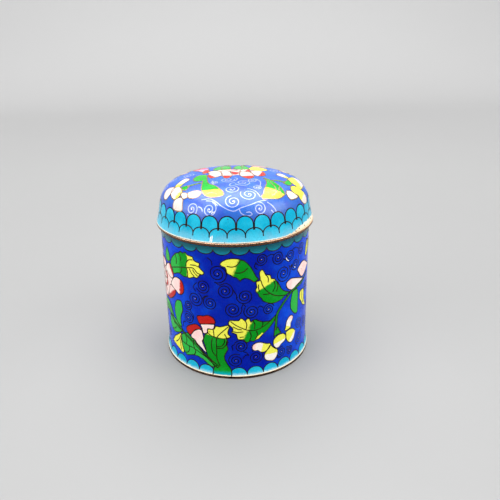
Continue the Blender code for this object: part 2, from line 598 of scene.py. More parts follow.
def new_group(name, inputs, outputs):
    group = bpy.data.node_groups.new(name, "ShaderNodeTree")
    for label, kind, default in inputs:
        socket = group.interface.new_socket(label, in_out="INPUT", socket_type=kind)
        if kind == "NodeSocketFloat":
            socket.default_value = default
    for label, kind in outputs:
        group.interface.new_socket(label, in_out="OUTPUT", socket_type=kind)
    tree = Tree(group)
    return group, tree, tree.node("NodeGroupInput").outputs, tree.node("NodeGroupOutput").inputs


PIT = (0.035, 0.022, 0.02)
# Painted shade in the groove round the lid's ring
SEAM_SHADE = (0.022, 0.011, 0.008)
DARK_SPOT = (0.03, 0.022, 0.018)


def put_surface(tree, sockets, colour, roughness, normal, colour_name="Color"):
    tree.put(colour, sockets[colour_name])
    tree.put(roughness, sockets["Roughness"])
    tree.put(normal, sockets["Normal"])


def make_enamel_group():
    """Clouds, fine mottling, sparse pits and the soft waviness of a hand polished surface."""
    group, tree, given, out = new_group(
        "Enamel Surface",
        [
            ("Color", "NodeSocketColor", None),
            ("Cloud", "NodeSocketColor", None),
            ("Cloudiness", "NodeSocketFloat", 0.5),
            ("Pits", "NodeSocketFloat", 0.5),
            ("Roughness", "NodeSocketFloat", 0.2),
        ],
        [("Color", "NodeSocketColor"), ("Roughness", "NodeSocketFloat"), ("Normal", "NodeSocketVector")],
    )
    place = tree.millimetres()
    clouds = tree.ramp(tree.noise(place, 0.16, 4.0), 0.40, 0.66)
    colour = tree.mix(tree.math("MULTIPLY", clouds, given["Cloudiness"]), given["Color"], given["Cloud"])
    mottle = tree.noise(place, 1.7, 5.0)
    colour = tree.mix(1.0, colour, tree.scaled(mottle, 0.5, 0.75), "MULTIPLY")
    lot, size, distance = tree.lots(place, 0.62)
    chosen = tree.math("LESS_THAN", lot, tree.math("MULTIPLY", given["Pits"], 0.12))
    near = tree.math("LESS_THAN", distance, tree.scaled(size, 0.12, 0.06))
    pit = tree.math("MULTIPLY", chosen, near)
    colour = tree.mix(tree.math("MULTIPLY", pit, 0.82), colour, PIT)
    scuffs = tree.ramp(tree.noise(place, 0.7, 6.0), 0.50, 0.72)
    roughness = tree.math("ADD", tree.math("MULTIPLY", scuffs, 0.12), tree.math("MULTIPLY", pit, 0.5))
    roughness = tree.math("ADD", roughness, given["Roughness"])
    waves = tree.math("ADD", tree.noise(place, 0.45, 2.0), tree.math("MULTIPLY", mottle, 0.12))
    height = tree.math("SUBTRACT", waves, tree.math("MULTIPLY", pit, 0.5))
    put_surface(tree, out, colour, roughness, tree.bump(height, 0.32, 0.00016))
    return group


def make_copper_group():
    """Copper that has gone brown in patches."""
    group, tree, given, out = new_group(
        "Aged Copper",
        [
            ("Copper", "NodeSocketColor", None),
            ("Brown", "NodeSocketColor", None),
            ("Age", "NodeSocketFloat", 0.5),
        ],
        [("Color", "NodeSocketColor"), ("Roughness", "NodeSocketFloat"), ("Normal", "NodeSocketVector")],
    )
    place = tree.millimetres()
    patches = tree.noise(place, 0.55, 6.0)
    stains = tree.ramp(tree.math("ADD", patches, tree.math("SUBTRACT", given["Age"], 0.5)), 0.25, 0.85)
    grain = tree.noise(place, 5.0, 3.0)
    colour = tree.mix(stains, given["Copper"], given["Brown"])
    colour = tree.mix(1.0, colour, tree.scaled(grain, 0.6, 0.7), "MULTIPLY")
    normal = tree.bump(tree.math("ADD", grain, patches), 0.08, 0.00006)
    put_surface(tree, out, colour, tree.scaled(stains, 0.22, 0.24), normal)
    return group


def make_fade_group():
    """A ragged mask that is 1 at one height and 0 at another."""
    group, tree, given, out = new_group(
        "Height Fade",
        [
            ("Full", "NodeSocketFloat", 0.0),
            ("None", "NodeSocketFloat", 1.0),
            ("Raggedness", "NodeSocketFloat", 1.0),
        ],
        [("Mask", "NodeSocketFloat")],
    )
    place = tree.millimetres()
    height = tree.math("ADD", tree.part_of(place, 2), tree.wander(place, 0.9, 5.0, given["Raggedness"]))
    tree.put(tree.ramp(height, given["None"], given["Full"]), out["Mask"])
    return group


def new_material(name):
    material = bpy.data.materials.new(name)
    material.use_nodes = True
    tree = Tree(material.node_tree)
    shader = material.node_tree.nodes["Principled BSDF"]
    return material, tree, shader


def add_group_node(tree, name, inputs):
    return tree.node("ShaderNodeGroup", inputs, node_tree=bpy.data.node_groups[name])


def height_fade(tree, full, none, raggedness=0.0):
    """A mask that is 1 at one height and 0 at another, both in millimetres."""
    inputs = {"Full": full, "None": none, "Raggedness": raggedness}
    return add_group_node(tree, "Height Fade", inputs).outputs[0]


def enamel_material(
    name, colour, cloud, cloudiness=0.5, pits=0.5, rough=0.16, glass=1.45, shine=0.16, second=None, paint=None
):
    """Polished enamel. A second colour follows the cell's own tint, and paint adds what one material has."""
    material, tree, shader = new_material(name)
    base, cloud = tuple(colour), tuple(cloud)
    if second is not None:
        tint = tree.math("ADD", tree.attribute("tint"), tree.wander(tree.millimetres(), 0.8, 4.0, 0.5))
        paler = tree.math("MULTIPLY", tree.ramp(tint, -1.0, -2.0), tree.attribute("pale_end"))
        base, cloud = tree.mix_both(tree.ramp(tint, 0.34, 0.66), tree.mix(paler, base, cloud), cloud, second)
    if paint is not None:
        base, cloud = paint(tree, base, cloud)
    inputs = {"Color": base, "Cloud": cloud, "Cloudiness": cloudiness, "Pits": pits, "Roughness": rough}
    surface = add_group_node(tree, "Enamel Surface", inputs).outputs
    put_surface(tree, shader.inputs, surface["Color"], surface["Roughness"], surface["Normal"], "Base Color")
    shader.inputs["IOR"].default_value = glass
    shader.inputs["Specular IOR Level"].default_value = shine
    return material


def copper_material(name, copper, brown, age, metal=1.0, seam_shade=None):
    """Aged copper. An optional height in millimetres gets a narrow band of painted shade round the piece."""
    material, tree, shader = new_material(name)
    surface = add_group_node(tree, "Aged Copper", {"Copper": copper, "Brown": brown, "Age": age}).outputs
    colour = surface["Color"]
    if seam_shade is not None:
        above = height_fade(tree, seam_shade + 0.09, seam_shade + 0.27)
        below = height_fade(tree, seam_shade - 0.09, seam_shade - 0.27)
        colour = tree.mix(tree.math("MULTIPLY", above, below), colour, SEAM_SHADE)
    put_surface(tree, shader.inputs, colour, surface["Roughness"], surface["Normal"], "Base Color")
    shader.inputs["Metallic"].default_value = metal
    return material


# Painted shade on the cup's ground, strongest where the wall faces the front and the back
SHADE_FROM, SHADE_TO = 24.0, 37.0
SHADE_WANDER = 22.0
SHADE_SHARE = 0.85


def painted_front_shade(tree, base, cloud):
    """Painted shade: the blue darkens where the wall faces the front and the back, in the middle of each
    drawing.
    """
    place = tree.millimetres()
    front = tree.math("ABSOLUTE", tree.part_of(place, 1))
    front = tree.math("ADD", front, tree.wander(place, 0.11, 3.0, SHADE_WANDER))
    share = tree.math("MULTIPLY", tree.ramp(front, SHADE_FROM, SHADE_TO), SHADE_SHARE)
    return tree.mix_both(share, base, cloud, colours().cobalt_shade)


def cup_scale_shade_and_highlight(tree, base, cloud):
    """Painted light on the scales: those at the foot pale to a milky white as a painted highlight, and those
    at the mouth darken as painted shade under the rim.
    """
    top = MOUTH_LOW.z / MM
    # Painted shade under the mouth's rim
    rim_shade = height_fade(tree, top - 0.6, top - 7.0, 0.8)
    base, cloud = tree.mix_both(rim_shade, base, cloud, colours().turquoise_shade)
    # Painted highlight along the foot, where the flare faces up
    foot_highlight = tree.math("MULTIPLY", height_fade(tree, 1.2, 3.2, 2.0), 0.75)
    return foot_edge_highlight(tree, *tree.mix_both(foot_highlight, base, cloud, colours().milk_and_highlight))


def foot_edge_highlight(tree, base, cloud):
    """Painted highlight: a pale line along the cup's lower edge, where the flare catches the light."""
    return tree.mix_both(height_fade(tree, 1.5, 2.0, 0.5), base, cloud, colours().cream_and_highlight)


def leaf_foot_reflection(tree, base, cloud):
    """Painted reflection: a leaf that stands on the foot turns turquoise down there, where the flare faces
    up.
    """
    low = tree.math("MULTIPLY", height_fade(tree, 1.6, 4.2, 1.6), 0.8)
    return foot_edge_highlight(tree, *tree.mix_both(low, base, cloud, colours().turquoise))


BARE_PATCH_TURN = 66.0
BARE_PATCH_HEIGHT = 2.6


def lid_edge_highlight_and_wear(tree, base, cloud):
    """Scales on the lid pale towards the edge, as pale enamel and painted highlight, with a bare patch on the
    right.
    """
    low = LID_LOW.z / MM
    c = colours()
    # Pale enamel and painted highlight towards the lid's edge
    pale = height_fade(tree, low + 0.4, low + 5.5, 2.5)
    base = tree.mix(tree.math("MULTIPLY", pale, 0.20), base, c.milk_and_highlight)
    # Painted highlight with pale enamel right at the edge
    edge = tree.math("MULTIPLY", height_fade(tree, low + 0.15, low + 0.6, 0.5), 0.7)
    base, cloud = tree.mix_both(edge, base, cloud, c.cream_and_highlight)
    turn = math.radians(BARE_PATCH_TURN)
    toward = (math.sin(turn) / LID_HIGH.x, -math.cos(turn) / LID_HIGH.x, 0.0)
    inputs = {0: tree.object_place(), 1: toward}
    facing = tree.node("ShaderNodeVectorMath", inputs, operation="DOT_PRODUCT").outputs["Value"]
    reach = tree.math("MULTIPLY", tree.ramp(facing, 0.84, 1.0), BARE_PATCH_HEIGHT)
    place = tree.millimetres()
    height = tree.math("SUBTRACT", tree.part_of(place, 2), low)
    height = tree.math("ADD", height, tree.wander(place, 0.7, 5.0, 2.4))
    depth = tree.math("SUBTRACT", reach, height)
    patch = tree.product(tree.ramp(depth, -0.3, 0.4), tree.ramp(facing, 0.84, 0.88))
    chip = tree.mix(tree.ramp(height, 0.2, 1.6), c.chip, c.cream_and_highlight)
    lot, _, distance = tree.lots(place, 0.6)
    spots = tree.product(
        tree.ramp(distance, 0.30, 0.22), tree.math("LESS_THAN", lot, 0.3),
        tree.ramp(depth, -1.8, -1.0), tree.ramp(facing, 0.90, 0.94),
    )
    base, cloud = tree.mix(patch, base, chip), tree.mix(patch, cloud, chip)
    return tree.mix_both(spots, base, cloud, DARK_SPOT)


def make_materials():
    c = colours()
    make_enamel_group()
    make_copper_group()
    make_fade_group()
    enamel_material("cobalt_enamel", c.cobalt, (0.0, 0.024, 0.42), 0.8, 0.35, shine=0.08, paint=painted_front_shade)
    enamel_material(
        "lid_cobalt_enamel", (0.004, 0.080, 0.38), (0.001, 0.04, 0.36), 0.8, rough=0.32, glass=1.5, shine=0.6
    )
    enamel_material("inner_enamel", c.turquoise, c.turquoise_pale, 0.5, 0.3)
    enamel_material("leaf_enamel", c.leaf, c.leaf_pale, 0.2, 0.6, shine=0.1, second=c.lemon, paint=leaf_foot_reflection)
    enamel_material(
        "lid_leaf_enamel", (0.006, 0.25, 0.018), (0.025, 0.32, 0.045), 0.8, 0.6, second=(0.62, 0.61, 0.06)
    )
    enamel_material("rose_enamel", (0.50, 0.12, 0.32), c.pink, 0.6, 0.3, second=c.red)
    enamel_material("petal_enamel", c.pink, c.white, 0.6, 0.3, second=c.red)
    enamel_material("white_enamel", c.white, c.pink, 0.2, 0.4, second=c.lemon)
    # Painted shade: darker copies of the pink and the white for the lid, where the lights are stronger
    enamel_material("lid_petal_enamel", (0.56, 0.36, 0.34), (0.56, 0.48, 0.45), 0.7, 0.3, second=c.red)
    enamel_material(
        "lid_white_enamel", (0.56, 0.51, 0.47), (0.54, 0.42, 0.38), 0.45, 0.4, second=(0.62, 0.60, 0.06)
    )
    # White strokes: painted glints on the lid's skirt, and white marks on the cup
    enamel_material("white_stroke_enamel", (0.80, 0.82, 0.84), c.cream_and_highlight, 0.5, 0.6, rough=0.5)
    enamel_material("cup_scale_enamel", c.turquoise, c.turquoise_pale, paint=cup_scale_shade_and_highlight)
    enamel_material("lid_scale_enamel", c.turquoise, c.turquoise_pale, 0.6, 1.6, paint=lid_edge_highlight_and_wear)
    # Painted shade: a narrow band round the middle of the lid's ring, in its groove
    lid_seam_shade = (LID_RIM_LOW.z + LID_RIM_HIGH.z) / 2 / MM
    copper_material("rim_copper", c.copper, c.copper_brown, 0.36, seam_shade=lid_seam_shade)
    copper_material("foot_copper", (0.16, 0.085, 0.05), (0.015, 0.010, 0.008), 0.62)
    # Painted shade: the mouth ring's copper darkened, as it lies in the shade under the lid's ring
    copper_material("mouth_copper_shaded", c.copper_brown, (0.05, 0.028, 0.02), 0.5)
    # Painted shade: copper darkened to near black, standing in for the dark reflections of wires on the walls
    copper_material("wire_copper_shaded", (0.09, 0.045, 0.022), (0.008, 0.006, 0.005), 0.64)
    copper_material("lid_wire_copper", (0.55, 0.36, 0.22), c.copper_brown, 0.5)
    # Painted reflection: blue-lilac copper for the scrolls on the lid, as the glare shows in them
    copper_material("lid_scroll_reflection_copper", (0.35, 0.39, 0.68), (0.20, 0.26, 0.55), 0.5, metal=0.35)
    # Painted shade: scroll copper darkened to near black, standing in for dark reflections on the cup's wall
    copper_material("scroll_copper_shaded", (0.030, 0.020, 0.020), (0.002, 0.002, 0.006), 0.60)
    # Painted glint: pale polished copper for the dots at the scrolls' middles
    copper_material("painted_glint_copper", (0.95, 0.74, 0.45), c.copper, 0.4)


def made(name):
    return bpy.data.materials[name]


def enamels(*names):
    return {name: made(name + "_enamel") for name in names}


# Layers of the enamel work, as heights in millimetres above the turned surface (all below it)

SCROLLS = -0.095
SCALES = -0.080
SCALE_WIRES = -0.050
LEAVES = -0.045
STEMS = -0.035
PETALS = -0.030
OUTLINES = -0.008
# Between cells of one layer that overlap
HAIR = 0.004
# Radius of the painted glint at a scroll's middle
GLINT_RADIUS = 0.18
LEAF_SLACK = 0.28


# The cup's drawing


LOBE_PARTS = 14


def lobe(start, pitch, cusp, tip, inset=0.0):
    """Points of one scale's rounded edge, from cusp to cusp or, with an inset, clear of its neighbours."""
    out = []
    for k in range(LOBE_PARTS + 1):
        angle = math.pi * k / LOBE_PARTS
        across = start + pitch / 2 - (pitch / 2 - inset) * math.cos(angle)
        out.append((across, cusp + (tip - cusp) * math.sin(angle)))
    return out


# Where the first scale starts round the wall, and the heights of a scale's cusps and of its tip
HANGING_SCALE = (-2.0, 65.8, 63.3)
STANDING_SCALE = (4.2, 2.0, 5.7)


def cup_scales():
    """Scales that hang from the mouth and scales that stand on the foot."""
    count = sizes().cup_scales
    pitch = TURN * wall_radius() / MM / count
    hanging, standing, wires = [], [], []
    rows = (
        (hanging, HANGING_SCALE, MOUTH_LOW.z / MM - 0.35),
        (standing, STANDING_SCALE, FOOT_HIGH.z / MM + 0.3),
    )
    for k in range(count):
        for row, (start, cusp, tip), end in rows:
            edge = lobe(k * pitch + start, pitch, cusp, tip)
            row.append(Cell([(edge[0][0], end), *edge, (edge[-1][0], end)], "cup_scale", lift=SCALES))
            wires.append((edge, sizes().wire / MM, SCALE_WIRES, False))
    return hanging, standing, wires


# Fades that give one even colour

PALE = ((0.0, -1000.0), (0.0, -1001.0))
WHOLE = ((0.0, -1001.0), (0.0, -1000.0))


class Drawing:
    """Collects the cells and wires of one side."""

    def __init__(self):
        self.leaves = []
        self.petals = []
        self.outlines = []
        self.scrolls = []
        self.glint_dots = []

    def leaf(self, points, fade=None, veins=(), lift=LEAVES, wired=True, pale_end=False):
        """A leaf that keeps its green up to the end far from its fade, unless that end is pale."""
        outline = curve_through(points, closed=True, slack=LEAF_SLACK)
        self.leaves.append(Cell(outline, "leaf", fade, lift, pale_end or fade is PALE))
        if wired:
            self.wire(outline, closed=True)
        for vein in veins:
            self.wire(curve_through(vein))

    def bloom(self, points, enamel="petal", fade=None, lift=PETALS, wired=True):
        outline = curve_through(points, closed=True)
        self.petals.append(Cell(outline, enamel, fade, lift))
        if wired:
            self.wire(outline, closed=True)

    def stem(self, path, start_width, end_width, lift=STEMS):
        outline = band(path, start_width, end_width)
        self.leaves.append(Cell(outline, "leaf", None, lift))
        self.wire(outline, closed=True)

    def wire(self, path, closed=False):
        self.outlines.append((path, sizes().wire / MM, OUTLINES, closed))

    def scroll(self, path):
        self.scrolls.append((path, sizes().scroll_wire / MM, SCROLLS, False))

    def curls_and_tails(self, curls, tails, turns):
        """Cloud scrolls as (x, y, radius, start, hand), each with a painted glint at its middle, and loose
        wires.
        """
        for cx, cy, radius, start, hand in curls:
            self.scroll(spiral(cx, cy, radius, start, hand, turns))
            # Painted glint: a polished copper dot at the scroll's middle
            glint_dot = arc(cx, cy, GLINT_RADIUS, GLINT_RADIUS, 0, 360 * 11 / 12, 11)
            self.glint_dots.append(Cell(glint_dot, "bright", lift=SCROLLS + 0.01))
        for tail in tails:
            self.scroll(curve_through(tail, step=0.6))

    def shifted(self, across):
        """The same drawing further round the wall."""
        copy = Drawing()
        for name in ("leaves", "petals", "glint_dots"):
            for cell in getattr(self, name):
                outline = [(x + across, y) for x, y in cell.outline]
                fade = cell.fade and tuple((x + across, y) for x, y in cell.fade)
                getattr(copy, name).append(Cell(outline, cell.enamel, fade, cell.lift, cell.pale_end))
        for name in ("outlines", "scrolls"):
            for path, width, lift, closed in getattr(self, name):
                getattr(copy, name).append(([(x + across, y) for x, y in path], width, lift, closed))
        return copy


def draw_top_leaves(d):
    d.leaf(
        [(-35.5, 51.5), (-36, 54), (-34.5, 56.5), (-32.5, 58.5), (-30.5, 60), (-28.5, 60.8), (-27.3, 61.8),
         (-26, 61.3), (-24.2, 62), (-22.9, 61), (-20.2, 60.8), (-19.6, 59.3), (-18, 58.6), (-16.5, 58.3),
         (-17, 56.6), (-16, 55.5), (-14.6, 54.2), (-15, 53.2), (-16.8, 52.6), (-17.6, 51.5), (-18.5, 50.8),
         (-20, 51), (-22.3, 49.9), (-24, 50), (-26, 49.7), (-29, 50.5), (-31, 50), (-33, 49), (-34.5, 49.5)],
        fade=((-25, 55), (-22.6, 55)), pale_end=True,
        veins=[[(-36.5, 51), (-32, 52.6), (-28, 53.8), (-22, 55.1)], [(-31.5, 60), (-30.5, 57), (-31, 54.5)],
               [(-21.6, 56.6), (-19, 56.9), (-17, 56.4)], [(-22.5, 55), (-20, 55.3), (-18, 53.4), (-16, 53)],
               [(-20.3, 59.3), (-22.4, 58.8), (-23.8, 57.2), (-24.3, 55.2)],
               [(-22.2, 54.6), (-21.2, 52.6), (-19.6, 51.4)], [(-20.4, 54.6), (-19.4, 53), (-17.8, 51.8)],
               [(-24, 54.6), (-23.4, 52.6), (-23.6, 50.2)], [(-28.6, 60.6), (-27.4, 58.6), (-27.6, 57)],
               [(-27.4, 53.6), (-27.6, 51.8), (-28.8, 50.6)]],
    )
    d.leaf([(-24.7, 56), (-24.1, 57.4), (-23.1, 58.5), (-23.3, 60.5), (-24.2, 61.5), (-25.4, 60),
            (-25.4, 57.6)],
           lift=LEAVES + HAIR, wired=False)
    d.leaf([(-41.5, 54), (-41, 57.5), (-39, 60.5), (-37, 57.5), (-36.8, 54.5), (-38.8, 53.2)], fade=PALE)
    d.leaf(
        [(-7, 59), (-6, 60.3), (-4, 61.4), (-1.5, 61.8), (1, 61.6), (2.2, 61.1), (3.5, 60.6), (5, 59.3),
         (6.5, 57.3), (7.7, 55), (9, 52.3), (10, 51.2), (8, 50), (7, 50.8), (5.5, 51.8), (4, 52.3),
         (2.5, 51.8), (1.8, 51), (1, 51.8), (0, 52.8), (-1.2, 53), (-2.2, 53.8), (-4, 54.8), (-4.3, 56.5),
         (-4.8, 57.6), (-6, 58)],
        fade=((1.8, 57), (-1.8, 58.4)),
        veins=[[(-4, 58.2), (-2, 57.8), (0, 58.3), (1.5, 60), (1.9, 61)],
               [(-0.5, 55.1), (1.5, 54.9), (3.5, 55.5), (5, 57)]],
    )
    d.leaf(
        [(10.4, 53.5), (10.7, 54.8), (11.7, 55.5), (12.8, 54), (13.3, 52.9), (14.5, 52.4), (15.7, 52),
         (16.2, 50.3), (17.6, 49.8), (18.3, 49.3), (18.6, 48.5), (19.8, 47.5), (20.8, 45.5), (22, 43.3),
         (24, 41.8), (26, 40.8), (27.5, 40.3), (24, 39.4), (22, 38.2), (19, 37.6), (16.5, 37.7), (14, 38.7),
         (12, 40), (11.3, 41.5), (10.2, 42.5), (9.8, 43.8), (8.8, 45), (8.6, 46.2), (9.2, 47.2), (8.9, 49),
         (9, 50), (10.8, 50.5)],
        fade=((14.4, 46), (13.4, 48.2)),
        veins=[[(11, 50.5), (12, 47.5), (14, 44.5), (17, 42), (20, 40.6), (24, 39.6), (26, 38.7)],
               [(13.2, 52.9), (14.6, 51), (14.6, 48.7)], [(10, 48.5), (10, 46.5), (10.5, 44.8)],
               [(17.5, 49), (18.3, 46), (17, 43.5)], [(19, 48.5), (19.8, 46), (19, 43)],
               [(12, 43.2), (14, 42.9), (16, 43)]],
    )


def draw_left_flower(d):
    centre = (-46.8, 42.8)
    heart = arc(*centre, 8.6, 7.2, 40, 285, 12)
    heart += [(-41.8, 35.2), (-39.4, 36.6), (-37.3, 38.8), (-35, 41.6), (-34.2, 44.6), (-36, 46.6)]
    d.bloom(heart, lift=PETALS - 0.010, wired=False)
    d.bloom(
        [(-34.8, 46.2), (-34, 49), (-35, 51.5), (-36.5, 52.8), (-38.8, 52.4), (-41.2, 51.0), (-42.4, 48.6),
         (-40.4, 46.8), (-37, 45.4)],
        fade=((-37.2, 48.8), (-35.2, 50.1)),
    )
    d.bloom(
        [(-36, 44.3), (-34, 46.5), (-32, 47.5), (-29.5, 47.5), (-27.5, 46.5), (-26.6, 44), (-26.9, 41.5),
         (-28.5, 39.7), (-30.5, 39.3), (-32.5, 40.2), (-35, 41), (-37, 42.5)],
        fade=((-31.2, 43.6), (-27.8, 43.2)),
    )
    d.bloom(
        [(-34.5, 40.8), (-33, 39.8), (-34, 37.5), (-36.5, 35.2), (-40, 33.2), (-42, 33.6), (-40.5, 36),
         (-39.5, 39), (-38, 41.5)],
        fade=((-38.2, 39.4), (-36.0, 36.6)),
    )
    for k in range(7):
        base, tip = ray(centre, 80 + 200 * k / 6, (6.1, 5.4), (13.4, 10.6))
        fade = (lerp(base, tip, 0.6), tip)
        d.bloom(petal(base, tip, 5.8, parts=5)[::2], fade=fade, lift=PETALS + HAIR * (k % 2))
    for angle in range(30, 390, 60):
        base, tip = ray(centre, angle, (0.7, 0.7), (6.2, 5.4))
        fade = (lerp(base, tip, 0.3), lerp(base, tip, 0.9))
        d.bloom(petal(base, tip, 4.3, parts=5)[::2], fade=fade, lift=PETALS + 0.010)


def draw_right_stem(d):
    d.stem([(44.5, 44.3), (38, 41.5), (33, 41), (29, 40.2), (26.5, 38.5), (24, 36.5), (21.5, 34), (20, 32),
            (19.3, 30), (19, 26), (18.7, 23)], 0.8, 1.2)
    d.leaf([(18.2, 24), (18.2, 24), (18, 21.5), (17.8, 19.6), (17.8, 19.6), (20, 20.3), (22, 20.6),
            (22, 20.6), (21, 22), (20.1, 24), (20.1, 24)], lift=STEMS + HAIR)
    d.leaf(
        [(29.5, 39.5), (33, 39.8), (34, 37), (34, 33), (34, 29.5), (33.8, 27), (32, 26.8), (30, 28.5),
         (28.3, 31), (28, 34), (28.6, 37)],
        fade=PALE,
    )
    d.leaf(
        [(36, 36.5), (38, 37.3), (40.5, 36.5), (41, 33.5), (41, 31), (43.5, 26.5), (40, 28), (38, 30.5),
         (36, 33)],
        fade=((39, 40), (39, 36)),
        veins=[[(38.5, 37), (38.4, 33), (40.4, 29)]],
    )
    d.bloom(
        [(24.8, 45.2), (25.5, 46), (28, 46.8), (30.5, 46.2), (34, 45), (37, 43.8), (39, 43.2), (36, 42.3),
         (33, 41.9), (30, 40.9), (28, 41), (26, 42.3), (25, 43.8)],
    )
    d.bloom(
        [(33, 49.5), (35, 51), (37.5, 52), (40, 51.7), (43, 50), (47, 47.5), (44, 46.8), (41, 45), (38, 44.2),
         (36, 45.3), (34.5, 47.3)],
    )
    d.leaf([(41.5, 53.5), (41.8, 57.5), (43.5, 61.2), (45.8, 60), (46.2, 56.5), (44.5, 53.8)],
           fade=((43.8, 50), (43.8, 54)), veins=[[(43.6, 54), (43.9, 57.5), (44, 61)]])


def draw_low_leaves(d):
    d.leaf(
        [(-4, 30), (-3.3, 31.3), (-1.5, 31.2), (0.8, 31.2), (1.5, 32.2), (2.5, 32), (3.8, 30.6), (4.2, 31.6),
         (5.5, 32), (6.3, 30), (7.5, 30.8), (9, 31), (10, 30), (11.5, 29.3), (13, 29), (15.5, 28.8),
         (17.5, 30), (19, 31), (18, 28.3), (16.5, 26.5), (14.5, 24.5), (12.5, 23), (11, 21.5), (10, 20.5),
         (8.5, 20.2), (7.5, 19.5), (6, 20), (4.5, 19.3), (3.5, 20), (2.8, 21), (0.3, 21.2), (-0.2, 22.5),
         (-0.5, 24), (-2.6, 25), (-2, 26.2), (-2.2, 27.3), (-3.8, 29)],
        fade=((6.6, 25), (3.2, 26.6)),
        veins=[[(-3, 30.8), (-1, 29), (2, 27.2), (5, 25.8), (9, 25.5), (13, 27), (17, 29.5)],
               [(3.8, 30.8), (4.4, 28.8), (4, 26.5)], [(-2, 28), (0, 26.8), (2, 26.3)],
               [(-2.3, 25.5), (0, 25), (2.7, 25.2)], [(1, 22.3), (3, 22.5)],
               [(7, 31), (8.2, 28.5), (7.8, 26.2)], [(9, 30.5), (12, 29), (11.5, 26.5)],
               [(8.4, 20.6), (9.4, 22.8), (8.8, 25)], [(5.5, 20), (6.4, 22.6), (5.6, 25.4)]],
    )
    d.leaf([(8.2, 20.3), (8.8, 20.4), (10, 20.7), (11, 21.7), (12.2, 23), (11.6, 23.4), (10.4, 22.4),
            (9, 21.5)],
           fade=WHOLE, lift=LEAVES + HAIR, wired=False)
    standing = [
        (-12, 1.4), (-12, 1.4), (-12, 3.5), (-11.5, 5.5), (-13, 8), (-14.5, 10.5), (-15.3, 13), (-15.5, 15),
        (-16.7, 19), (-16, 21), (-15.5, 22.5), (-14, 23.5), (-14, 25.5), (-11, 25.9), (-10, 27.7), (-8, 27.6),
        (-6.5, 28), (-4.5, 28.7), (-3.5, 28), (-4.3, 25.5), (-4.3, 24), (-3.2, 22.7), (-4, 22), (-5, 21.2),
        (-4.5, 20), (-5, 18), (-4.5, 16), (-5.5, 14), (-6.3, 12), (-6.2, 10), (-5, 7.5), (-3.5, 5.2), (-3, 3),
        (-3.2, 1.4), (-3.2, 1.4),
    ]
    d.leaf(
        standing,
        fade=((-9.5, 21.2), (-9.3, 22.6)),
        veins=[[(-4, 28), (-7, 25), (-9.5, 22), (-10, 19), (-10, 14), (-10, 10), (-8.5, 6)],
               [(-11.2, 25.5), (-11, 22)], [(-12, 21), (-12.5, 17), (-12, 13.5), (-10.5, 11.5)],
               [(-6, 24), (-5, 22)], [(-6, 21), (-6.3, 19), (-8, 17), (-9.8, 16.8)],
               [(-5, 20.5), (-5.5, 18), (-7.5, 16), (-9.8, 15.9)],
               [(-14, 23.4), (-11.5, 21.9), (-7.5, 21.3), (-4, 22)]],
        wired=False,
    )
    d.wire(curve_through(standing, slack=0.28))
    d.leaf([(-31, 35.8), (-29.5, 36), (-28.7, 34.5), (-28.5, 31), (-29.5, 29), (-30.3, 27), (-30.5, 24),
            (-30, 22), (-32, 21.5), (-34, 24), (-35, 27), (-35.2, 30), (-34, 33.5), (-32.5, 35.3)], fade=PALE)
    d.leaf([(-37, 25), (-39, 28.5), (-42, 31), (-46, 31), (-50, 28.5), (-52, 25), (-48, 24.5), (-43, 25.5),
            (-39.5, 24.8)], fade=PALE, veins=[[(-38.2, 26), (-43, 28.2), (-50, 27)]])
    d.leaf([(-41, 24), (-37.5, 24.5), (-34, 23.5), (-31, 21.5), (-29, 20), (-31, 18.5), (-33.5, 17.2),
            (-37, 16), (-40, 17), (-41.5, 19.5), (-41.5, 22)], fade=PALE,
           veins=[[(-37.5, 24), (-37.2, 22), (-36, 20.6)], [(-38.8, 17), (-36.5, 18), (-34.6, 19.8)]])
    d.stem([(-44.5, 27), (-44, 26.5), (-38, 23), (-33, 20.8), (-28, 19), (-24, 17), (-20, 14.5), (-16, 11),
            (-12, 7.5), (-9.5, 5.5)], 0.6, 1.2)
    d.leaf(
        [(-31.2, 17.8), (-33, 16.5), (-35, 15), (-37, 13.5), (-38.5, 11.5), (-40, 9.8), (-38, 9), (-33.5, 8),
         (-31.5, 7), (-30, 7), (-29.5, 8.5), (-30.5, 11), (-30.5, 14), (-30.5, 16.5)],
        fade=((-34, 22), (-34, 18)),
        veins=[[(-31, 17), (-33.5, 13), (-36.5, 10.4)], [(-31, 16), (-32, 11.5), (-31.6, 8)]],
    )
    d.leaf(
        [(-30.3, 17.5), (-29, 18.5), (-26, 20), (-24, 18.5), (-22, 17.5), (-20, 15.5), (-18, 13),
         (-15.5, 10.5), (-12, 7.8), (-10, 6.5), (-12, 5), (-14.5, 6), (-17, 8), (-20, 9), (-23, 8.8),
         (-25, 8), (-27, 7.2), (-28.5, 7.8), (-30.5, 11.5), (-31, 14.5)],
        veins=[[(-31, 14), (-27, 13), (-23, 12.8), (-19, 11.5), (-15, 9.5)],
               [(-25.5, 13), (-25.3, 11), (-26.5, 9), (-28.5, 8)], [(-22, 12.7), (-21.5, 10.8), (-22.5, 9)],
               [(-27.8, 18.8), (-26.8, 16), (-27.4, 13.2)], [(-22.2, 17.4), (-22.6, 15), (-22, 12.8)]],
        fade=PALE, lift=LEAVES + 0.006,
    )


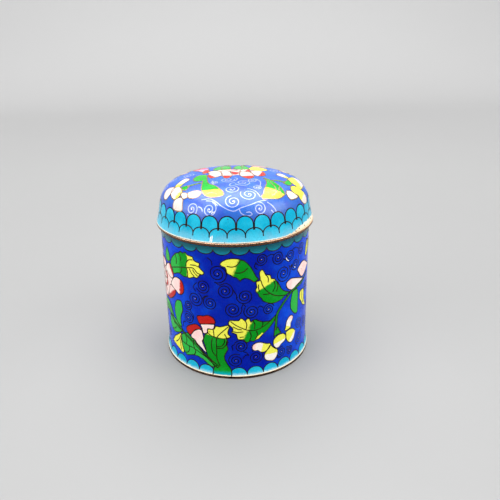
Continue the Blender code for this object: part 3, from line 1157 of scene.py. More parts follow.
def draw_low_flowers(d):
    petals = [
        ([(24.5, 20.5), (25, 22.5), (25.2, 24.5), (26, 26), (27.5, 27.2), (29, 27.2), (30.2, 26),
          (29.8, 24.5), (28.6, 23), (28.5, 21.2), (27.5, 20.5)], ((27.4, 22.8), (26.6, 21.2))),
        ([(25.2, 19.3), (26.5, 19.8), (29, 19.8), (31, 18.8), (32.3, 17), (31.8, 15), (31, 13.5),
          (29.5, 12.3), (28, 12.5), (26.5, 13.8), (25.5, 15.5), (25.3, 17.5)], ((30.2, 14.6), (28.8, 16.0))),
        ([(17.6, 17.5), (18.5, 18.7), (20, 19.6), (22, 19.8), (23.8, 19.2), (25, 17.8), (25, 16), (24, 14.8),
          (22.5, 14.3), (21, 13), (19.5, 12.8), (18.3, 13.8), (17.6, 15.5)], ((21.2, 14.9), (20.9, 16.7))),
        ([(16, 15.8), (17, 14.5), (18.5, 13), (20, 11.8), (20, 9.5), (19, 7.5), (17.5, 6.5), (15.5, 7),
          (13.8, 7.8), (12.8, 9.5), (13, 11.5), (14, 13), (15.2, 14.8)], ((16.2, 9.8), (16.4, 11.6))),
        ([(16, 16.5), (14, 17), (12, 18), (10.5, 18.5), (8.5, 18.4), (7, 17.3), (6.8, 15.5), (8, 14.3),
          (9.5, 14.3), (11, 13), (13, 12.8), (14.5, 13.5), (15.7, 15)], ((10.9, 15.7), (12.5, 15.3))),
    ]
    for outline, fade in petals:
        d.bloom(outline, "white", fade)
    d.bloom([(-19.2, 29.5), (-19.5, 31), (-18, 31.8), (-16, 32), (-14.5, 32.7), (-12.8, 32.7), (-11, 31.8),
             (-10.2, 30), (-10.8, 28.7), (-14, 28.2), (-18, 27.5)], fade=((-15, 20), (-15, 26)))
    d.bloom([(-17.6, 27.3), (-17, 25.5), (-16.5, 23), (-15, 23), (-14.2, 24), (-14, 25.7), (-11.3, 26),
             (-10.8, 28.7), (-14, 28.2)])
    d.bloom([(-26.5, 21.5), (-26, 23.5), (-24, 25), (-21.5, 26.3), (-19.5, 26.5), (-18, 25.5), (-17.5, 24.8),
             (-19.3, 24.1), (-21.5, 22.7), (-23.5, 20.2), (-24.8, 19.8)], fade=((-15, 20), (-19, 23)))
    d.bloom([(-23.6, 19.8), (-21.5, 22.8), (-19.5, 24.1), (-17.3, 24), (-16.5, 20), (-17.2, 18.5),
             (-16.8, 16.5), (-15.2, 12.3), (-18, 14.5), (-20, 16), (-21.5, 17.8), (-23.3, 18.5)])


CUP_SCROLLS = [
    (-15.5, 47.2, 3.6, 200, 1), (-20, 40, 4.0, 60, -1), (-12.3, 39.3, 3.6, 100, 1), (-8.3, 54.3, 4.5, 250, 1),
    (-5.2, 46, 4.0, 90, -1), (3.7, 43.2, 3.8, 180, 1), (-1.8, 36.8, 4.1, 10, -1), (6.7, 35.3, 3.7, 140, 1),
    (-24.8, 28.7, 3.2, 120, -1), (11.5, 60.3, 3.0, 200, 1), (19.8, 59.6, 3.4, 330, -1),
    (27, 58.7, 3.0, 200, 1), (23, 51, 4.5, 40, -1), (31, 53, 3.0, 170, 1), (15, 35, 3.0, 20, 1),
    (1.5, 17.3, 3.4, 150, -1), (-1, 9.5, 3.8, 60, 1), (8.6, 10.7, 3.9, 120, -1), (22.5, 9.5, 3.0, 70, 1),
    (28, 8, 2.5, 160, -1), (36, 20, 3.2, 100, 1), (36.5, 11, 3.4, 250, -1), (43.5, 17, 3.2, 140, 1),
    (43, 37, 2.8, 70, -1), (36, 59, 3.0, 20, 1), (-45, 12, 3.0, 40, 1), (-50, 20, 3.4, 200, -1),
    (-55, 28, 3.2, 110, 1), (-48, 58.5, 3.0, 200, 1), (-55, 59, 2.8, 20, -1), (-57, 11, 3.2, 80, 1),
    (-24.5, 35.5, 2.6, 200, 1), (50, 57.5, 3.2, 200, -1), (50, 25, 3.4, 60, 1),
    (50, 10, 3.2, 150, -1),
]

CUP_TAILS = [
    [(-18.6, 48.6), (-20.5, 46.2), (-19.4, 43.8)], [(-16.2, 40.6), (-14.8, 42.4), (-12.9, 42.9)],
    [(-9.4, 50.2), (-7.6, 48.9), (-5.3, 49.8)], [(-1.4, 46.6), (-0.2, 44.4), (0.3, 42.6)],
    [(2.1, 37.4), (2.8, 39.2), (4.2, 38.0)], [(-12.8, 61.6), (-10.9, 60.2), (-10.6, 58.1)],
    [(8.9, 59.4), (8.2, 57.2), (9.6, 55.8)], [(14.2, 61.2), (16.0, 62.0), (17.4, 61.4)],
    [(22.6, 58.4), (24.1, 57.4), (24.4, 59.6)], [(26.8, 52.2), (28.3, 53.8), (28.6, 52.4)],
    [(12.3, 36.4), (10.8, 37.6), (9.8, 36.8)], [(-1.2, 18.6), (-2.6, 17.6), (-2.2, 15.2)],
    [(2.2, 10.6), (3.8, 12.4), (5.2, 12.0)], [(19.9, 8.4), (20.4, 6.8), (22.0, 6.6)],
    [(25.4, 10.4), (26.4, 10.9), (27.2, 10.3)], [(-26.6, 26.2), (-28.4, 25.0), (-28.6, 22.6)],
    [(-22.0, 28.2), (-21.6, 30.8), (-23.6, 33.2)], [(2.6, 14.4), (4.2, 13.6), (5.0, 12.2)],
    [(28.4, 60.8), (31.0, 61.4), (33.2, 60.2)], [(33.2, 51.6), (34.2, 53.8), (33.4, 56.6)],
    [(37.4, 17.0), (38.8, 15.4), (37.6, 14.2)], [(39.8, 19.4), (41.4, 20.6), (42.6, 20.1)],
    [(-47.8, 12.6), (-50.4, 14.0), (-50.6, 16.6)], [(-52.2, 22.6), (-53.6, 24.2), (-54.4, 25.0)],
    [(46.8, 57.0), (45.9, 59.4), (47.2, 61.2)], [(50.8, 13.2), (49.4, 17.4), (50.6, 21.6)],
    [(-54.0, 56.4), (-51.8, 55.4), (-49.6, 55.8)],
]


def cup_drawing():
    d = Drawing()
    draw_top_leaves(d)
    draw_left_flower(d)
    draw_right_stem(d)
    draw_low_leaves(d)
    draw_low_flowers(d)
    d.curls_and_tails(CUP_SCROLLS, CUP_TAILS, turns=2.6)
    back = d.shifted(math.pi * wall_radius() / MM)
    both = Drawing()
    for name in ("leaves", "petals", "outlines", "scrolls", "glint_dots"):
        setattr(both, name, getattr(d, name) + getattr(back, name))
    return both


# The lid's drawing


# Heights up the skirt: where a scale begins, where its wires begin and turn in, its cusps and its tip
UPPER_SCALE = (2.2, 5.4, 6.6, 8.0, 11.5)
LOWER_SCALE = (0.03, 2.2, 2.8, 3.3, 6.3)
UPPER_INSET = 0.24
FIRST_SCALE = 0.5
LID_WIRE_SHARE = 1.15


def lid_scales():
    """Two rows of scales round the lid's skirt, the lower row half a scale further on."""
    count = sizes().lid_scales
    pitch = TURN * LID_HIGH.x / MM / count
    width = sizes().wire / MM * LID_WIRE_SHARE
    upper, lower, wires = [], [], []
    for k in range(count):
        low, wire, side, cusp, tip = UPPER_SCALE
        edge = lobe(FIRST_SCALE + k * pitch, pitch, cusp, tip, UPPER_INSET)
        left, right = edge[0][0], edge[-1][0]
        upper.append(Cell([(left, low), *edge, (right, low)], "lid_scale", lift=SCALES))
        edge = [(left, wire), (left, side), *edge, (right, side), (right, wire)]
        wires.append((edge, width, SCALE_WIRES, False))
        low, wire, side, cusp, tip = LOWER_SCALE
        start = FIRST_SCALE - pitch / 2 + k * pitch
        edge = lobe(start, pitch, cusp, tip)
        lower.append(Cell([(start, low), *edge, (start + pitch, low)], "lid_scale", lift=SCALES + 0.012))
        wires.append(([(start, wire), (start, side), *edge], width, SCALE_WIRES, False))
    return upper, lower, wires


def draw_crown_leaves(d):
    d.leaf(
        [(-18.5, -9.5), (-18.8, -6), (-17.5, -2.5), (-15.5, -1), (-13.5, -1.2), (-12.6, -3), (-12.3, -8),
         (-11.9, -13), (-11, -16), (-8.5, -18.5), (-7, -21), (-6, -23), (-4.8, -25.5), (-4.8, -28),
         (-7.5, -28.6), (-10.5, -28.2), (-12.6, -26.5), (-14, -23.5), (-14.5, -20), (-14.4, -15),
         (-14.3, -11), (-16.5, -11)],
        fade=((-10, -21), (-10, -24)),
        veins=[[(-13, -26), (-10.4, -25), (-7.6, -26.6)]],
    )
    d.leaf(
        [(13.4, -8.5), (14.5, -9), (16.5, -11), (18.5, -14), (20.5, -17), (22, -20), (22.8, -22.5),
         (21.5, -25), (19.5, -27), (17, -28), (14.5, -28.8), (12.5, -29.5), (11.9, -28), (12.8, -26),
         (13.2, -23), (13.8, -20), (14.6, -16), (14.5, -12)],
        fade=((17.2, -19.4), (16.2, -22.6)),
        veins=[[(14.4, -9.6), (16.6, -15), (18.4, -19.6), (18.6, -23), (16.6, -26.4)],
               [(15.6, -22), (17.4, -22.6), (19, -21.8)], [(14.6, -25), (16.4, -25.4), (18.4, -25)],
               [(20.6, -17.4), (20, -20), (21.6, -24.6)]],
    )
    d.leaf([(-23.8, -14), (-21.5, -14), (-20, -14.8), (-20.5, -16.5), (-21.8, -18.5), (-23, -17.5),
            (-24, -15.5)])
    d.stem([(-20.8, -15), (-18, -14.4), (-14.6, -13.6)], 1.3, 0.8)
    d.leaf([(25.3, -6), (26.3, -8.5), (26.8, -10.5), (26, -13), (24.5, -14), (22.5, -13), (22.8, -11),
            (24.3, -9)])
    d.stem([(23.2, -11.6), (20, -10.9), (17.2, -11.6)], 1.6, 0.8)
    d.leaf([(-9.8, 7), (-9.6, 12), (-7.4, 17), (-4, 19), (-1.6, 15), (-1.2, 11), (-2, 8), (-5, 7.5)],
           veins=[[(-5.6, 8), (-6, 13), (-5, 18)]])
    d.leaf([(-0.2, 10), (0.8, 15), (2, 18), (5, 18), (7.2, 13), (7.5, 8), (5, 7), (2, 7.6)],
           veins=[[(4.2, 8), (4.2, 13), (3.8, 17)]])
    d.leaf([(7.6, 7), (7.8, 11), (9.6, 14.2), (13, 13), (16, 9.5), (16.4, 6), (14, 4.6), (10, 5)],
           fade=WHOLE, veins=[[(9, 6.4), (12, 8.6), (13.4, 11)]], lift=LEAVES + HAIR)
    d.stem([(-2, 19), (-4, 25), (-9, 30), (-15, 31)], 1.0, 0.8)
    d.leaf([(-9, 30), (-12, 26), (-17, 25), (-20, 28.5), (-17, 32), (-12, 32.6)], fade=((-14, 29), (-18, 29)),
           veins=[[(-9.6, 29.8), (-14, 28.8), (-19, 28.8)]])
    d.stem([(4, 18), (7, 24), (12, 28), (17, 28)], 1.0, 0.8)
    d.leaf([(11, 27.6), (14, 23.6), (19, 22.4), (22, 25.4), (19.6, 29.6), (14, 30.4)],
           fade=((16, 26), (20, 26)),
           veins=[[(11.6, 27.4), (16, 26.4), (21, 25.8)]])


def draw_crown_flowers(d):
    pale = [
        ([(-27.3, -10), (-25, -6), (-23, -3.5), (-21.2, -4.5), (-20.8, -7), (-23, -10), (-24.5, -12.5),
          (-26.5, -12)],
         ((-22, -6), (-27, -14))),
        ([(-34.5, -13), (-33.5, -9.5), (-31.5, -8.3), (-29, -9.5), (-27.5, -11.5), (-28.5, -14),
          (-30.5, -15.7), (-33, -16)], None),
        ([(-28.4, -12), (-26.5, -12), (-25, -13), (-24, -15.5), (-23.4, -18.5), (-24, -20.5), (-26, -21.5),
          (-28, -21), (-29.3, -18), (-29.5, -14.5)], ((-29, -16), (-24, -23))),
        ([(-26, -21.6), (-24, -22.5), (-23.2, -24.5), (-24, -27), (-25, -29.2), (-26.8, -28.5), (-28.6, -27),
          (-29.8, -25), (-29, -22.8), (-27.6, -21.6)], None),
        ([(-24, -19), (-22.5, -20), (-21, -21.5), (-20.5, -23.5), (-21.5, -24.5), (-23.2, -24), (-23.8, -22),
          (-24.3, -20.5)], None),
        ([(-20.5, -21.5), (-18.5, -21), (-16.5, -21.3), (-15, -22.5), (-14.6, -24.5), (-15.8, -26),
          (-18, -26.2), (-20, -25.3), (-20.8, -23.5)], None),
        ([(20.2, -1), (20.8, 0.8), (22.5, 2), (24, 0.5), (25, -1.5), (26, -3.5), (24.8, -5), (22.5, -3.8),
          (20.8, -2.5)], ((21, 0), (27, -6))),
        ([(26, -3.5), (27.5, -1), (29.5, 1), (31.5, 0.5), (33.5, -2), (33.8, -5), (33, -8), (32, -11),
          (30, -12), (28, -10.5), (26, -8.5), (25.2, -6)], ((33, -3), (28, -5))),
        ([(26.8, -13.2), (29, -12), (32, -12), (35, -12), (37, -13.5), (36.8, -16.5), (34.8, -18.8),
          (32, -19.3), (30, -18.2), (28, -18.6), (26.2, -17.6), (25.8, -15.2)], ((35, -16), (31.6, -15.4))),
        ([(23.4, -21), (24, -19.3), (26, -18.6), (28.5, -18.8), (30, -19), (29.2, -20.8), (27.8, -22.5),
          (26, -24), (24.2, -23.2)], ((26, -22), (28, -15))),
    ]
    for outline, fade in pale:
        d.bloom(outline, "white", fade)
    red_edged = [
        ([(-11.5, 0), (-12.3, -3), (-11.5, -6.5), (-10.5, -8), (-8, -6.5), (-6, -4.5), (-5.5, -1), (-6.5, 3),
          (-8.5, 5.5), (-11, 5), (-12.5, 2.5)], ((-9.6, -3), (-11.4, -4))),
        ([(-6, 3.5), (-5.8, -1), (-5.2, -5), (-4.5, -8.6), (-2.8, -9), (-1.4, -7), (-0.8, -3), (-1.5, 1),
          (-3, 4)],
         ((-3.4, -3), (-3.6, -6))),
        ([(-1.5, 4), (-1, 0), (0.2, -3), (2.2, -1), (3, 2), (2, 4.5), (0, 5)], ((1.9, 3.6), (0, 0.4))),
        ([(2.8, -1), (3, -5), (4.8, -8.8), (7, -10.3), (9, -8.5), (9.3, -4), (8.5, -1), (7.2, 2), (5, 3.2),
          (3.4, 2)], ((6.3, -4.4), (7, -7.4))),
        ([(3, 3), (5, 2.8), (7.2, 1), (8, 3), (7.5, 6), (6, 7.5), (3.8, 6.5)], ((4.6, 4.6), (6.6, 3.8))),
        ([(9.2, -3.5), (11, -6), (13.5, -5.5), (14.8, -4), (14.8, -1), (14, 2.5), (12.5, 4.5), (10, 4.5),
          (8.2, 2.5), (8.6, -0.5)], ((12, -0.5), (13.8, -1))),
        ([(-8, 5.5), (-6, 4), (-3, 4.2), (0, 5), (1.5, 6.2), (-0.5, 7.8), (-4, 7.8), (-7, 7)],
         ((-3, 5), (-3, 10))),
        ([(-14.6, 1.4), (-12.6, 2.6), (-11.8, 4.6), (-12, 7.4), (-13.6, 8.6), (-15, 5.4)],
         ((-12.4, 1), (-13.6, 4))),
    ]
    for outline, fade in red_edged:
        d.bloom(outline, "petal", fade)
    heart = [(-11, 3), (-8, 6), (-3, 7.4), (1, 7.2), (5, 6.4), (9, 4.8), (12.6, 4), (13.4, 0), (12, -4),
             (9, -4.4), (6, -6), (3.4, -4), (1.2, -3.6), (-1.4, -5), (-4, -6), (-6.4, -4.4), (-9.6, -5.4),
             (-11.4, -2)]
    d.bloom(heart, "petal", None, PETALS - 0.012, wired=False)
    d.bloom([(-19.8, 11.5), (-17, 8), (-15, 5.6), (-13.8, 8.8), (-12.3, 10), (-13, 14), (-15, 18), (-18, 19),
             (-20.5, 16)], "rose", ((-14, 10), (-19, 17)))
    d.bloom([(9, 15.5), (12.5, 14), (16.4, 14.6), (17, 18), (14, 20.6), (10, 19.6)],
            fade=((13, 15.4), (13, 19.4)))
    for cx, cy, turn in ((-27, 14, 20), (27.5, 12, 160), (0, 33.5, 90)):
        for k in range(5):
            centre, tip = ray((cx, cy), turn + 72 * k, (0, 0), (5.2, 5.2))
            d.bloom(petal(centre, tip, 4.4, parts=5)[::2], "white", (tip, lerp(tip, centre, 1.4)))


CROWN_SCROLLS = [
    (-1.2, -23.2, 3.6, 100, -1), (6.3, -27.4, 3.8, 150, 1), (-19.6, -31.3, 3.4, 200, 1),
    (-11.3, -34.4, 3.4, 60, -1), (-0.6, -32, 3.6, 100, 1), (11.2, -34.4, 3.2, 150, -1),
    (4, -16, 3.8, 200, 1), (-3, -12, 3.4, 20, -1), (-8.6, -14.6, 1.8, 120, 1), (-34, -3.5, 2.6, 200, -1),
    (-30, 3, 3.0, 90, 1), (-22, 2, 3.0, 60, -1), (20, 7, 3.0, 330, 1), (33.5, 5, 3.0, 250, 1),
    (8.6, -13, 2.6, 20, 1), (-30, 22, 3.2, 150, 1), (30, 21, 3.4, 330, 1), (-22, 21.5, 3.0, 60, 1),
    (-11, 21, 3.0, 200, -1), (8, 34, 3.2, 30, -1), (-8.4, 36, 3.0, 100, -1), (19.5, 33, 3.2, 140, 1),
    (-21, 34.6, 3.0, 320, 1), (24, 27.5, 2.6, 140, -1), (-26, 28.5, 2.8, 140, -1), (10, -21, 2.2, 100, -1),
    (-36.5, 8, 2.6, 140, -1), (36.5, -2.5, 2.4, 40, 1),
]

CROWN_TAILS = [
    [(-14.4, -28.6), (-10.6, -29.2), (-8, -31.4), (-5.6, -34), (-2.6, -36), (0, -36.6), (2.8, -35.2),
     (7, -33.4), (11, -31), (14, -29.8)],
    [(-12.4, -29.8), (-9.4, -31), (-7.4, -33.4)],
    [(2, -35.6), (3, -37.6), (5.8, -38.5), (8, -37.6), (6.8, -36.7), (5.2, -37.1)],
    [(5.6, -22.6), (9, -24.4), (11.4, -28.6)], [(14.4, -30.6), (17, -31.6), (19.4, -33.2), (18.6, -34.4),
                                                (16.8, -33.6)],
    [(-2, -19.6), (-1.6, -17.2), (0.4, -15.6)], [(-16.2, -31.6), (-14.9, -32.8), (-14.7, -34.4)],
    [(0.4, -8.2), (1.6, -10.4), (0.6, -13.4)], [(-26, -1.6), (-23.6, -1.2), (-22, 1.6)],
    [(-9.6, -12), (-9.4, -16.6), (-7.4, -20)], [(9.6, -11), (11.8, -14), (11.6, -19), (10.8, -22)],
]


def crown_drawing():
    d = Drawing()
    draw_crown_leaves(d)
    draw_crown_flowers(d)
    d.curls_and_tails(CROWN_SCROLLS, CROWN_TAILS, turns=2.0)
    return d


# Profiles of the turned pieces, in metres


def rounded(corners, radius):
    """A convex profile with each corner eased."""
    out = []
    count = len(corners)
    reach = radius * 0.85
    for i, corner in enumerate(corners):
        before, after = Vector(corners[i - 1]), Vector(corners[(i + 1) % count])
        here = Vector(corner)
        one, two = (before - here).normalized(), (after - here).normalized()
        for share in (0.0, 0.35, 0.65, 1.0):
            point = here + one * reach * (1 - share) ** 1.6 + two * reach * share**1.6
            out.append((point.x, point.y))
    return out


CUP_STEPS = 60
LID_STEPS = 110
RECESS_SLOPE = 0.0004
SEAM_DEPTH = 0.00014
SEAM_HALF = 0.00010
THIN_RING = 0.6


def cup_profile():
    s = sizes()
    low, high = CUP_LOW.z, CUP_HIGH.z
    heights = [low + (high - low) * k / CUP_STEPS for k in range(CUP_STEPS + 1)]
    outer = [(cup_radius(height) - s.ground_sink, height) for height in heights]
    bore = wall_radius() - s.wall
    floor_low = low + s.base_recess
    floor_top = floor_low + s.floor
    corner = s.inner_corner
    inner = [(bore, high), *arc(bore - corner, floor_top + corner, corner, corner, 0, -90, 6)]
    foot_inner = outer[0][0] - s.foot_rim_width
    under = [(foot_inner - RECESS_SLOPE, floor_low), (foot_inner, low)]
    return [(0.0, floor_low), *under, *outer, *inner, (0.0, floor_top)]


def lid_profile():
    s = sizes()
    outer, inner = [], []
    for k in range(LID_STEPS + 1):
        point, normal = lid_curve.at(lid_curve.total * k / LID_STEPS)
        for side, depth in ((outer, s.ground_sink), (inner, s.lid_wall)):
            sunk = point - normal * depth
            side.append((max(sunk.x, 0.0), max(sunk.y, LID_LOW.z)))
    outer[-1] = (0.0, outer[-1][1])
    inner[-1] = (0.0, inner[-1][1])
    return outer[::-1] + inner


def foot_profile():
    s = sizes()
    low, high = FOOT_LOW.z, FOOT_HIGH.z
    outer = FOOT_HIGH.x
    inner = outer - s.foot_rim_width
    return rounded([(inner, low), (outer, low), (outer, high), (inner, high)], s.rim_edge)


def lid_rim_profile():
    """The lid's ring, with the groove that runs round its outer face."""
    low, high = LID_RIM_LOW.z, LID_RIM_HIGH.z
    outer = LID_RIM_HIGH.x
    inner = outer - sizes().lid_wall
    middle = (low + high) / 2
    edge = sizes().rim_edge * THIN_RING
    return [
        (inner, low), (outer - edge, low), (outer, low + edge), (outer, middle - SEAM_HALF),
        (outer - SEAM_DEPTH, middle), (outer, middle + SEAM_HALF), (outer, high - edge), (outer - edge, high),
        (inner, high),
    ]


def mouth_profile():
    """The ring on the cup's mouth, as high as the lid's, with the collar that stands up inside the lid."""
    s = sizes()
    seat = MOUTH_LOW.z
    top_of_ring = seat + (LID_RIM_HIGH.z - LID_RIM_LOW.z)
    outer = MOUTH_HIGH.x
    bore = wall_radius() - s.wall
    collar = bore + s.collar
    edge = s.rim_edge * THIN_RING
    return [
        (bore, seat), (outer - edge, seat), (outer, seat + edge), (outer, top_of_ring - edge),
        (outer - edge, top_of_ring), (collar, top_of_ring), (collar, MOUTH_HIGH.z - edge),
        (collar - edge, MOUTH_HIGH.z), (bore + edge, MOUTH_HIGH.z), (bore, MOUTH_HIGH.z - edge),
    ]


# Operators


class CLOISONNE_OT_materials(bpy.types.Operator):
    """Make the enamels and the copper"""

    bl_idname = "cloisonne.materials"
    bl_label = "Enamels and copper"

    def execute(self, context):
        make_materials()
        return {"FINISHED"}


def on_cup_outside(centre, normal):
    inside_wall = cup_radius(centre.z) - sizes().wall * 0.5
    return math.hypot(centre.x, centre.y) > inside_wall and normal.z < 0.5


def on_lid_outside(centre, normal):
    return normal.dot(centre - Vector((0.0, 0.0, LID_LOW.z * 0.9))) > 0


def build_shell(name, profile, outside, enamel, replaced):
    """A turned shell whose inward faces have the inner enamel."""
    bm = spin_profile(profile, closed=False)
    for face in bm.faces:
        face.material_index = 0 if outside(face.calc_center_median(), face.normal) else 1
    finish_piece(name, bm, [made(enamel), made("inner_enamel")], [replaced])


def build_ring(name, profile, copper, replaced):
    finish_piece(name, spin_profile(profile, closed=True), [made(copper)], [replaced])


class CLOISONNE_OT_shells(bpy.types.Operator):
    """Turn the enamelled cup and lid"""

    bl_idname = "cloisonne.shells"
    bl_label = "Cup and lid"

    def execute(self, context):
        build_shell("cup_shell", cup_profile(), on_cup_outside, "cobalt_enamel", "body_cup")
        build_shell("lid_shell", lid_profile(), on_lid_outside, "lid_cobalt_enamel", "lid")
        return {"FINISHED"}


class CLOISONNE_OT_rims(bpy.types.Operator):
    """Turn the copper rims of the foot, mouth and lid"""

    bl_idname = "cloisonne.rims"
    bl_label = "Copper rims"

    def execute(self, context):
        build_ring("foot_ring", foot_profile(), "foot_copper", "foot_rim")
        build_ring("mouth_ring", mouth_profile(), "mouth_copper_shaded", "mouth_rim")
        build_ring("lid_ring", lid_rim_profile(), "rim_copper", "lid_rim")
        return {"FINISHED"}


class CLOISONNE_OT_cup_scales(bpy.types.Operator):
    """Lay the scales under the mouth and on the foot"""

    bl_idname = "cloisonne.cup_scales"
    bl_label = "Cup scales"

    def execute(self, context):
        hanging, standing, wires = cup_scales()
        fill = enamels("cup_scale")
        build_cells("mouth_scales", hanging, on_cup, fill)
        build_cells("foot_scales", standing, on_cup, fill)
        build_wires("cup_scale_wires", wires, on_cup, made("wire_copper_shaded"))
        return {"FINISHED"}


class CLOISONNE_OT_cup_flowers(bpy.types.Operator):
    """Lay the leaves, flowers and cloud scrolls of the cup"""

    bl_idname = "cloisonne.cup_flowers"
    bl_label = "Cup flowers"

    def execute(self, context):
        d = cup_drawing()
        build_cells("cup_leaves", d.leaves, on_cup, enamels("leaf"))
        build_cells("cup_petals", d.petals, on_cup, enamels("petal", "white"))
        build_wires("cup_outlines", d.outlines, on_cup, made("wire_copper_shaded"))
        build_wires("cup_scrolls", d.scrolls, on_cup, made("scroll_copper_shaded"), SCROLL_DEPTH)
        build_cells("cup_scroll_glints", d.glint_dots, on_cup, {"bright": made("painted_glint_copper")})
        return {"FINISHED"}


MARK_WIDTH = 0.36
CUP_MARKS = [[(24.4, 58.3), (24.9, 57.2), (26.0, 56.4)], [(30.2, 51.9), (31.0, 51.5)]]
# Painted glints on the lid's skirt, as short white strokes
LID_GLINTS = [
    [(-10.9, 0.5), (-10.8, 2.6)], [(-10.2, 0.5), (-10.1, 3.1)], [(-11.6, 12.6), (-11.4, 13.5)],
    [(-10.6, 12.3), (-10.4, 13.4)], [(-9.7, 12.6), (-9.6, 13.4)],
]


class CLOISONNE_OT_marks(bpy.types.Operator):
    """Scratch the enamel where it is worn"""

    bl_idname = "cloisonne.marks"
    # The strokes under this label are painted glints on the lid and white marks on the cup
    bl_label = "Wear marks"
    # Lay short white strokes: painted glints on the lid's skirt, and white marks on the cup

    def execute(self, context):
        for name, marks, wrap in (("cup_marks", CUP_MARKS, on_cup), ("lid_painted_glints", LID_GLINTS, on_skirt)):
            wires = [(curve_through(mark, step=0.4), MARK_WIDTH, OUTLINES, False) for mark in marks]
            build_wires(name, wires, wrap, made("white_stroke_enamel"))
        return {"FINISHED"}


class CLOISONNE_OT_lid_scales(bpy.types.Operator):
    """Lay the two rows of scales round the lid"""

    bl_idname = "cloisonne.lid_scales"
    bl_label = "Lid scales"

    def execute(self, context):
        upper, lower, wires = lid_scales()
        fill = enamels("lid_scale")
        build_cells("lid_upper_scales", upper, on_skirt, fill, (1.2, 0.6))
        build_cells("lid_lower_scales", lower, on_skirt, fill, (1.2, 0.9))
        build_wires("lid_scale_wires", wires, on_skirt, made("wire_copper_shaded"))
        return {"FINISHED"}


class CLOISONNE_OT_lid_flowers(bpy.types.Operator):
    """Lay the leaves, flowers and cloud scrolls of the lid"""

    bl_idname = "cloisonne.lid_flowers"
    bl_label = "Lid flowers"

    def execute(self, context):
        d = crown_drawing()
        fills = {name: made(f"lid_{name}_enamel") for name in ("leaf", "petal", "white")}
        fills["rose"] = made("rose_enamel")
        build_cells("lid_leaves", d.leaves, on_crown, fills, (0.9, 0.9))
        build_cells("lid_petals", d.petals, on_crown, fills, (0.9, 0.9))
        build_wires("lid_outlines", d.outlines, on_crown, made("lid_wire_copper"))
        build_wires("lid_scrolls", d.scrolls, on_crown, made("lid_scroll_reflection_copper"), SCROLL_DEPTH)
        build_cells("lid_scroll_glints", d.glint_dots, on_crown, {"bright": made("painted_glint_copper")})
        return {"FINISHED"}


# Stage


class StageSettings(bpy.types.PropertyGroup):
    """Camera, lights and floor."""

    camera_distance: length_prop("Camera distance", "From the box's axis, along the floor", 0.2327)
    camera_height: length_prop("Camera height", "Above the floor", 0.1463)
    pitch: angle_prop("Pitch", "How far the camera looks down", 22.29)
    roll: angle_prop("Roll", "How far the camera leans", -1.3)
    lens: FloatProperty(name="Lens", description="In mm, for a sensor of 36 mm", default=35.82, min=10)
    shift: FloatProperty(name="Shift", description="Sideways shift of the picture", default=0.029)
    softbox_power: FloatProperty(name="Softbox", description="Power of the softbox above, in W", default=6.5)
    side_power: FloatProperty(name="Side lights", description="Power of each side light, in W", default=9.0)
    world: FloatProperty(name="Surround", description="Brightness of the surround", default=0.62)


def stage():
    return bpy.context.scene.cloisonne_stage


def add_object(name, data, matrix):
    thing = bpy.data.objects.new(name, data)
    thing.matrix_world = matrix
    bpy.context.scene.collection.objects.link(thing)
    return thing


def aimed(place, target):
    direction = Vector(target) - Vector(place)
    return Matrix.Translation(place) @ direction.to_track_quat("-Z", "Y").to_matrix().to_4x4()


def add_area(name, place, target, width, height, power):
    data = bpy.data.lights.new(name, "AREA")
    data.shape = "RECTANGLE"
    data.size, data.size_y = width, height
    data.energy = power
    return add_object(name, data, aimed(place, target))


FLOOR_HALF = 4.0
FLOOR_BACK = 1.0
FLOOR_BEND = 0.8
FLOOR_TOP = 3.5


def floor_mesh():
    """A level floor that bends up into a wall behind."""
    bm = bmesh.new()
    bend = arc(FLOOR_BACK, FLOOR_BEND, FLOOR_BEND, FLOOR_BEND, -90, 0, 16)
    line = [(-FLOOR_HALF, 0.0), (FLOOR_BACK, 0.0), *bend, (FLOOR_BACK + FLOOR_BEND, FLOOR_TOP)]
    front = [bm.verts.new((-FLOOR_HALF, y, z)) for y, z in line]
    edges = [bm.edges.new(pair) for pair in zip(front, front[1:])]
    swept = bmesh.ops.extrude_edge_only(bm, edges=edges)["geom"]
    verts = [item for item in swept if isinstance(item, bmesh.types.BMVert)]
    bmesh.ops.translate(bm, vec=(2 * FLOOR_HALF, 0, 0), verts=verts)
    bmesh.ops.remove_doubles(bm, verts=bm.verts[:], dist=1e-5)
    bmesh.ops.recalc_face_normals(bm, faces=bm.faces[:])
    mesh = bpy.data.meshes.new("floor")
    bm.to_mesh(mesh)
    bm.free()
    return mesh


def floor_material():
    """Matt paper with painted shade: darker near the box, where the lights are strongest."""
    material, tree, shader = new_material("floor_paper")
    place = tree.object_place()
    reach = tree.node("ShaderNodeVectorMath", {0: place}, operation="LENGTH").outputs["Value"]
    paper = tree.mix(tree.noise(place, 3.0, 3.0), (0.22, 0.22, 0.22), (0.24, 0.24, 0.239))
    paper = tree.mix(tree.ramp(reach, 0.15, 1.6), paper, (0.80, 0.80, 0.80))
    tree.put(paper, shader.inputs["Base Color"])
    shader.inputs["Roughness"].default_value = 0.6
    return material


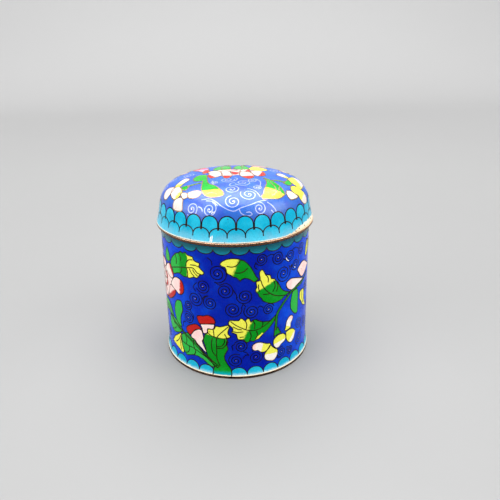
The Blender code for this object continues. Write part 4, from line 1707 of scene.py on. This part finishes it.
class CLOISONNE_OT_stage(bpy.types.Operator):
    """Set the floor, the lights and the camera"""

    bl_idname = "cloisonne.stage"
    bl_label = "Stage"

    def execute(self, context):
        s = stage()
        mesh = floor_mesh()
        mesh.materials.append(floor_material())
        mesh.shade_smooth()
        add_object("floor", mesh, Matrix.Identity(4))
        add_area("overhead_softbox", (0.0, 0.135, 0.54), (0.0, 0.135, 0.0), 0.60, 0.63, s.softbox_power)
        for name, side in (("left_light", -1), ("right_light", 1)):
            add_area(name, (side * 0.80, -0.40, 0.60), (0.0, 0.0, 0.04), 0.9, 0.7, s.side_power)
        world = bpy.data.worlds.new("studio")
        world.use_nodes = True
        background = world.node_tree.nodes["Background"]
        background.inputs["Color"].default_value = (1.0, 1.0, 1.0, 1.0)
        background.inputs["Strength"].default_value = s.world
        context.scene.world = world
        data = bpy.data.cameras.new("camera")
        data.lens = s.lens
        data.sensor_width = 36.0
        data.shift_x = s.shift
        data.clip_start = 0.01
        place = Matrix.Translation((0.0, -s.camera_distance, s.camera_height))
        turn = Matrix.Rotation(math.pi / 2 - s.pitch, 4, "X") @ Matrix.Rotation(s.roll, 4, "Z")
        context.scene.camera = add_object("camera", data, place @ turn)
        context.scene.view_settings.view_transform = "Standard"
        return {"FINISHED"}


class CLOISONNE_PT_box(bpy.types.Panel):
    """Sizes and colours of the box"""

    bl_idname = "CLOISONNE_PT_box"
    bl_label = "Cloisonne box"
    bl_space_type = "VIEW_3D"
    bl_region_type = "UI"
    bl_category = "Cloisonne"

    def draw(self, context):
        scene = context.scene
        for settings in (scene.cloisonne_sizes, scene.cloisonne_colours, scene.cloisonne_stage):
            box = self.layout.box()
            for name in settings.__annotations__:
                box.prop(settings, name)
        for operator in OPERATORS:
            self.layout.operator(operator.bl_idname)


GROUPS = (
    ("cloisonne_sizes", BoxSizes),
    ("cloisonne_colours", BoxColours),
    ("cloisonne_stage", StageSettings),
)
OPERATORS = (
    CLOISONNE_OT_materials,
    CLOISONNE_OT_shells,
    CLOISONNE_OT_rims,
    CLOISONNE_OT_cup_scales,
    CLOISONNE_OT_cup_flowers,
    CLOISONNE_OT_lid_scales,
    CLOISONNE_OT_lid_flowers,
    CLOISONNE_OT_marks,
    CLOISONNE_OT_stage,
)


def register():
    for name, group in GROUPS:
        bpy.utils.register_class(group)
        setattr(bpy.types.Scene, name, PointerProperty(type=group))
    for operator in OPERATORS:
        bpy.utils.register_class(operator)
    bpy.utils.register_class(CLOISONNE_PT_box)


def unregister():
    bpy.utils.unregister_class(CLOISONNE_PT_box)
    for operator in reversed(OPERATORS):
        bpy.utils.unregister_class(operator)
    for name, group in reversed(GROUPS):
        delattr(bpy.types.Scene, name)
        bpy.utils.unregister_class(group)


def main():
    global lid_curve
    register()
    lid_curve = LidCurve()
    bpy.ops.cloisonne.materials()
    bpy.ops.cloisonne.shells()
    bpy.ops.cloisonne.rims()
    bpy.ops.cloisonne.cup_scales()
    bpy.ops.cloisonne.cup_flowers()
    bpy.ops.cloisonne.lid_scales()
    bpy.ops.cloisonne.lid_flowers()
    bpy.ops.cloisonne.marks()
    bpy.ops.cloisonne.stage()


if __name__ == "__main__":
    main()
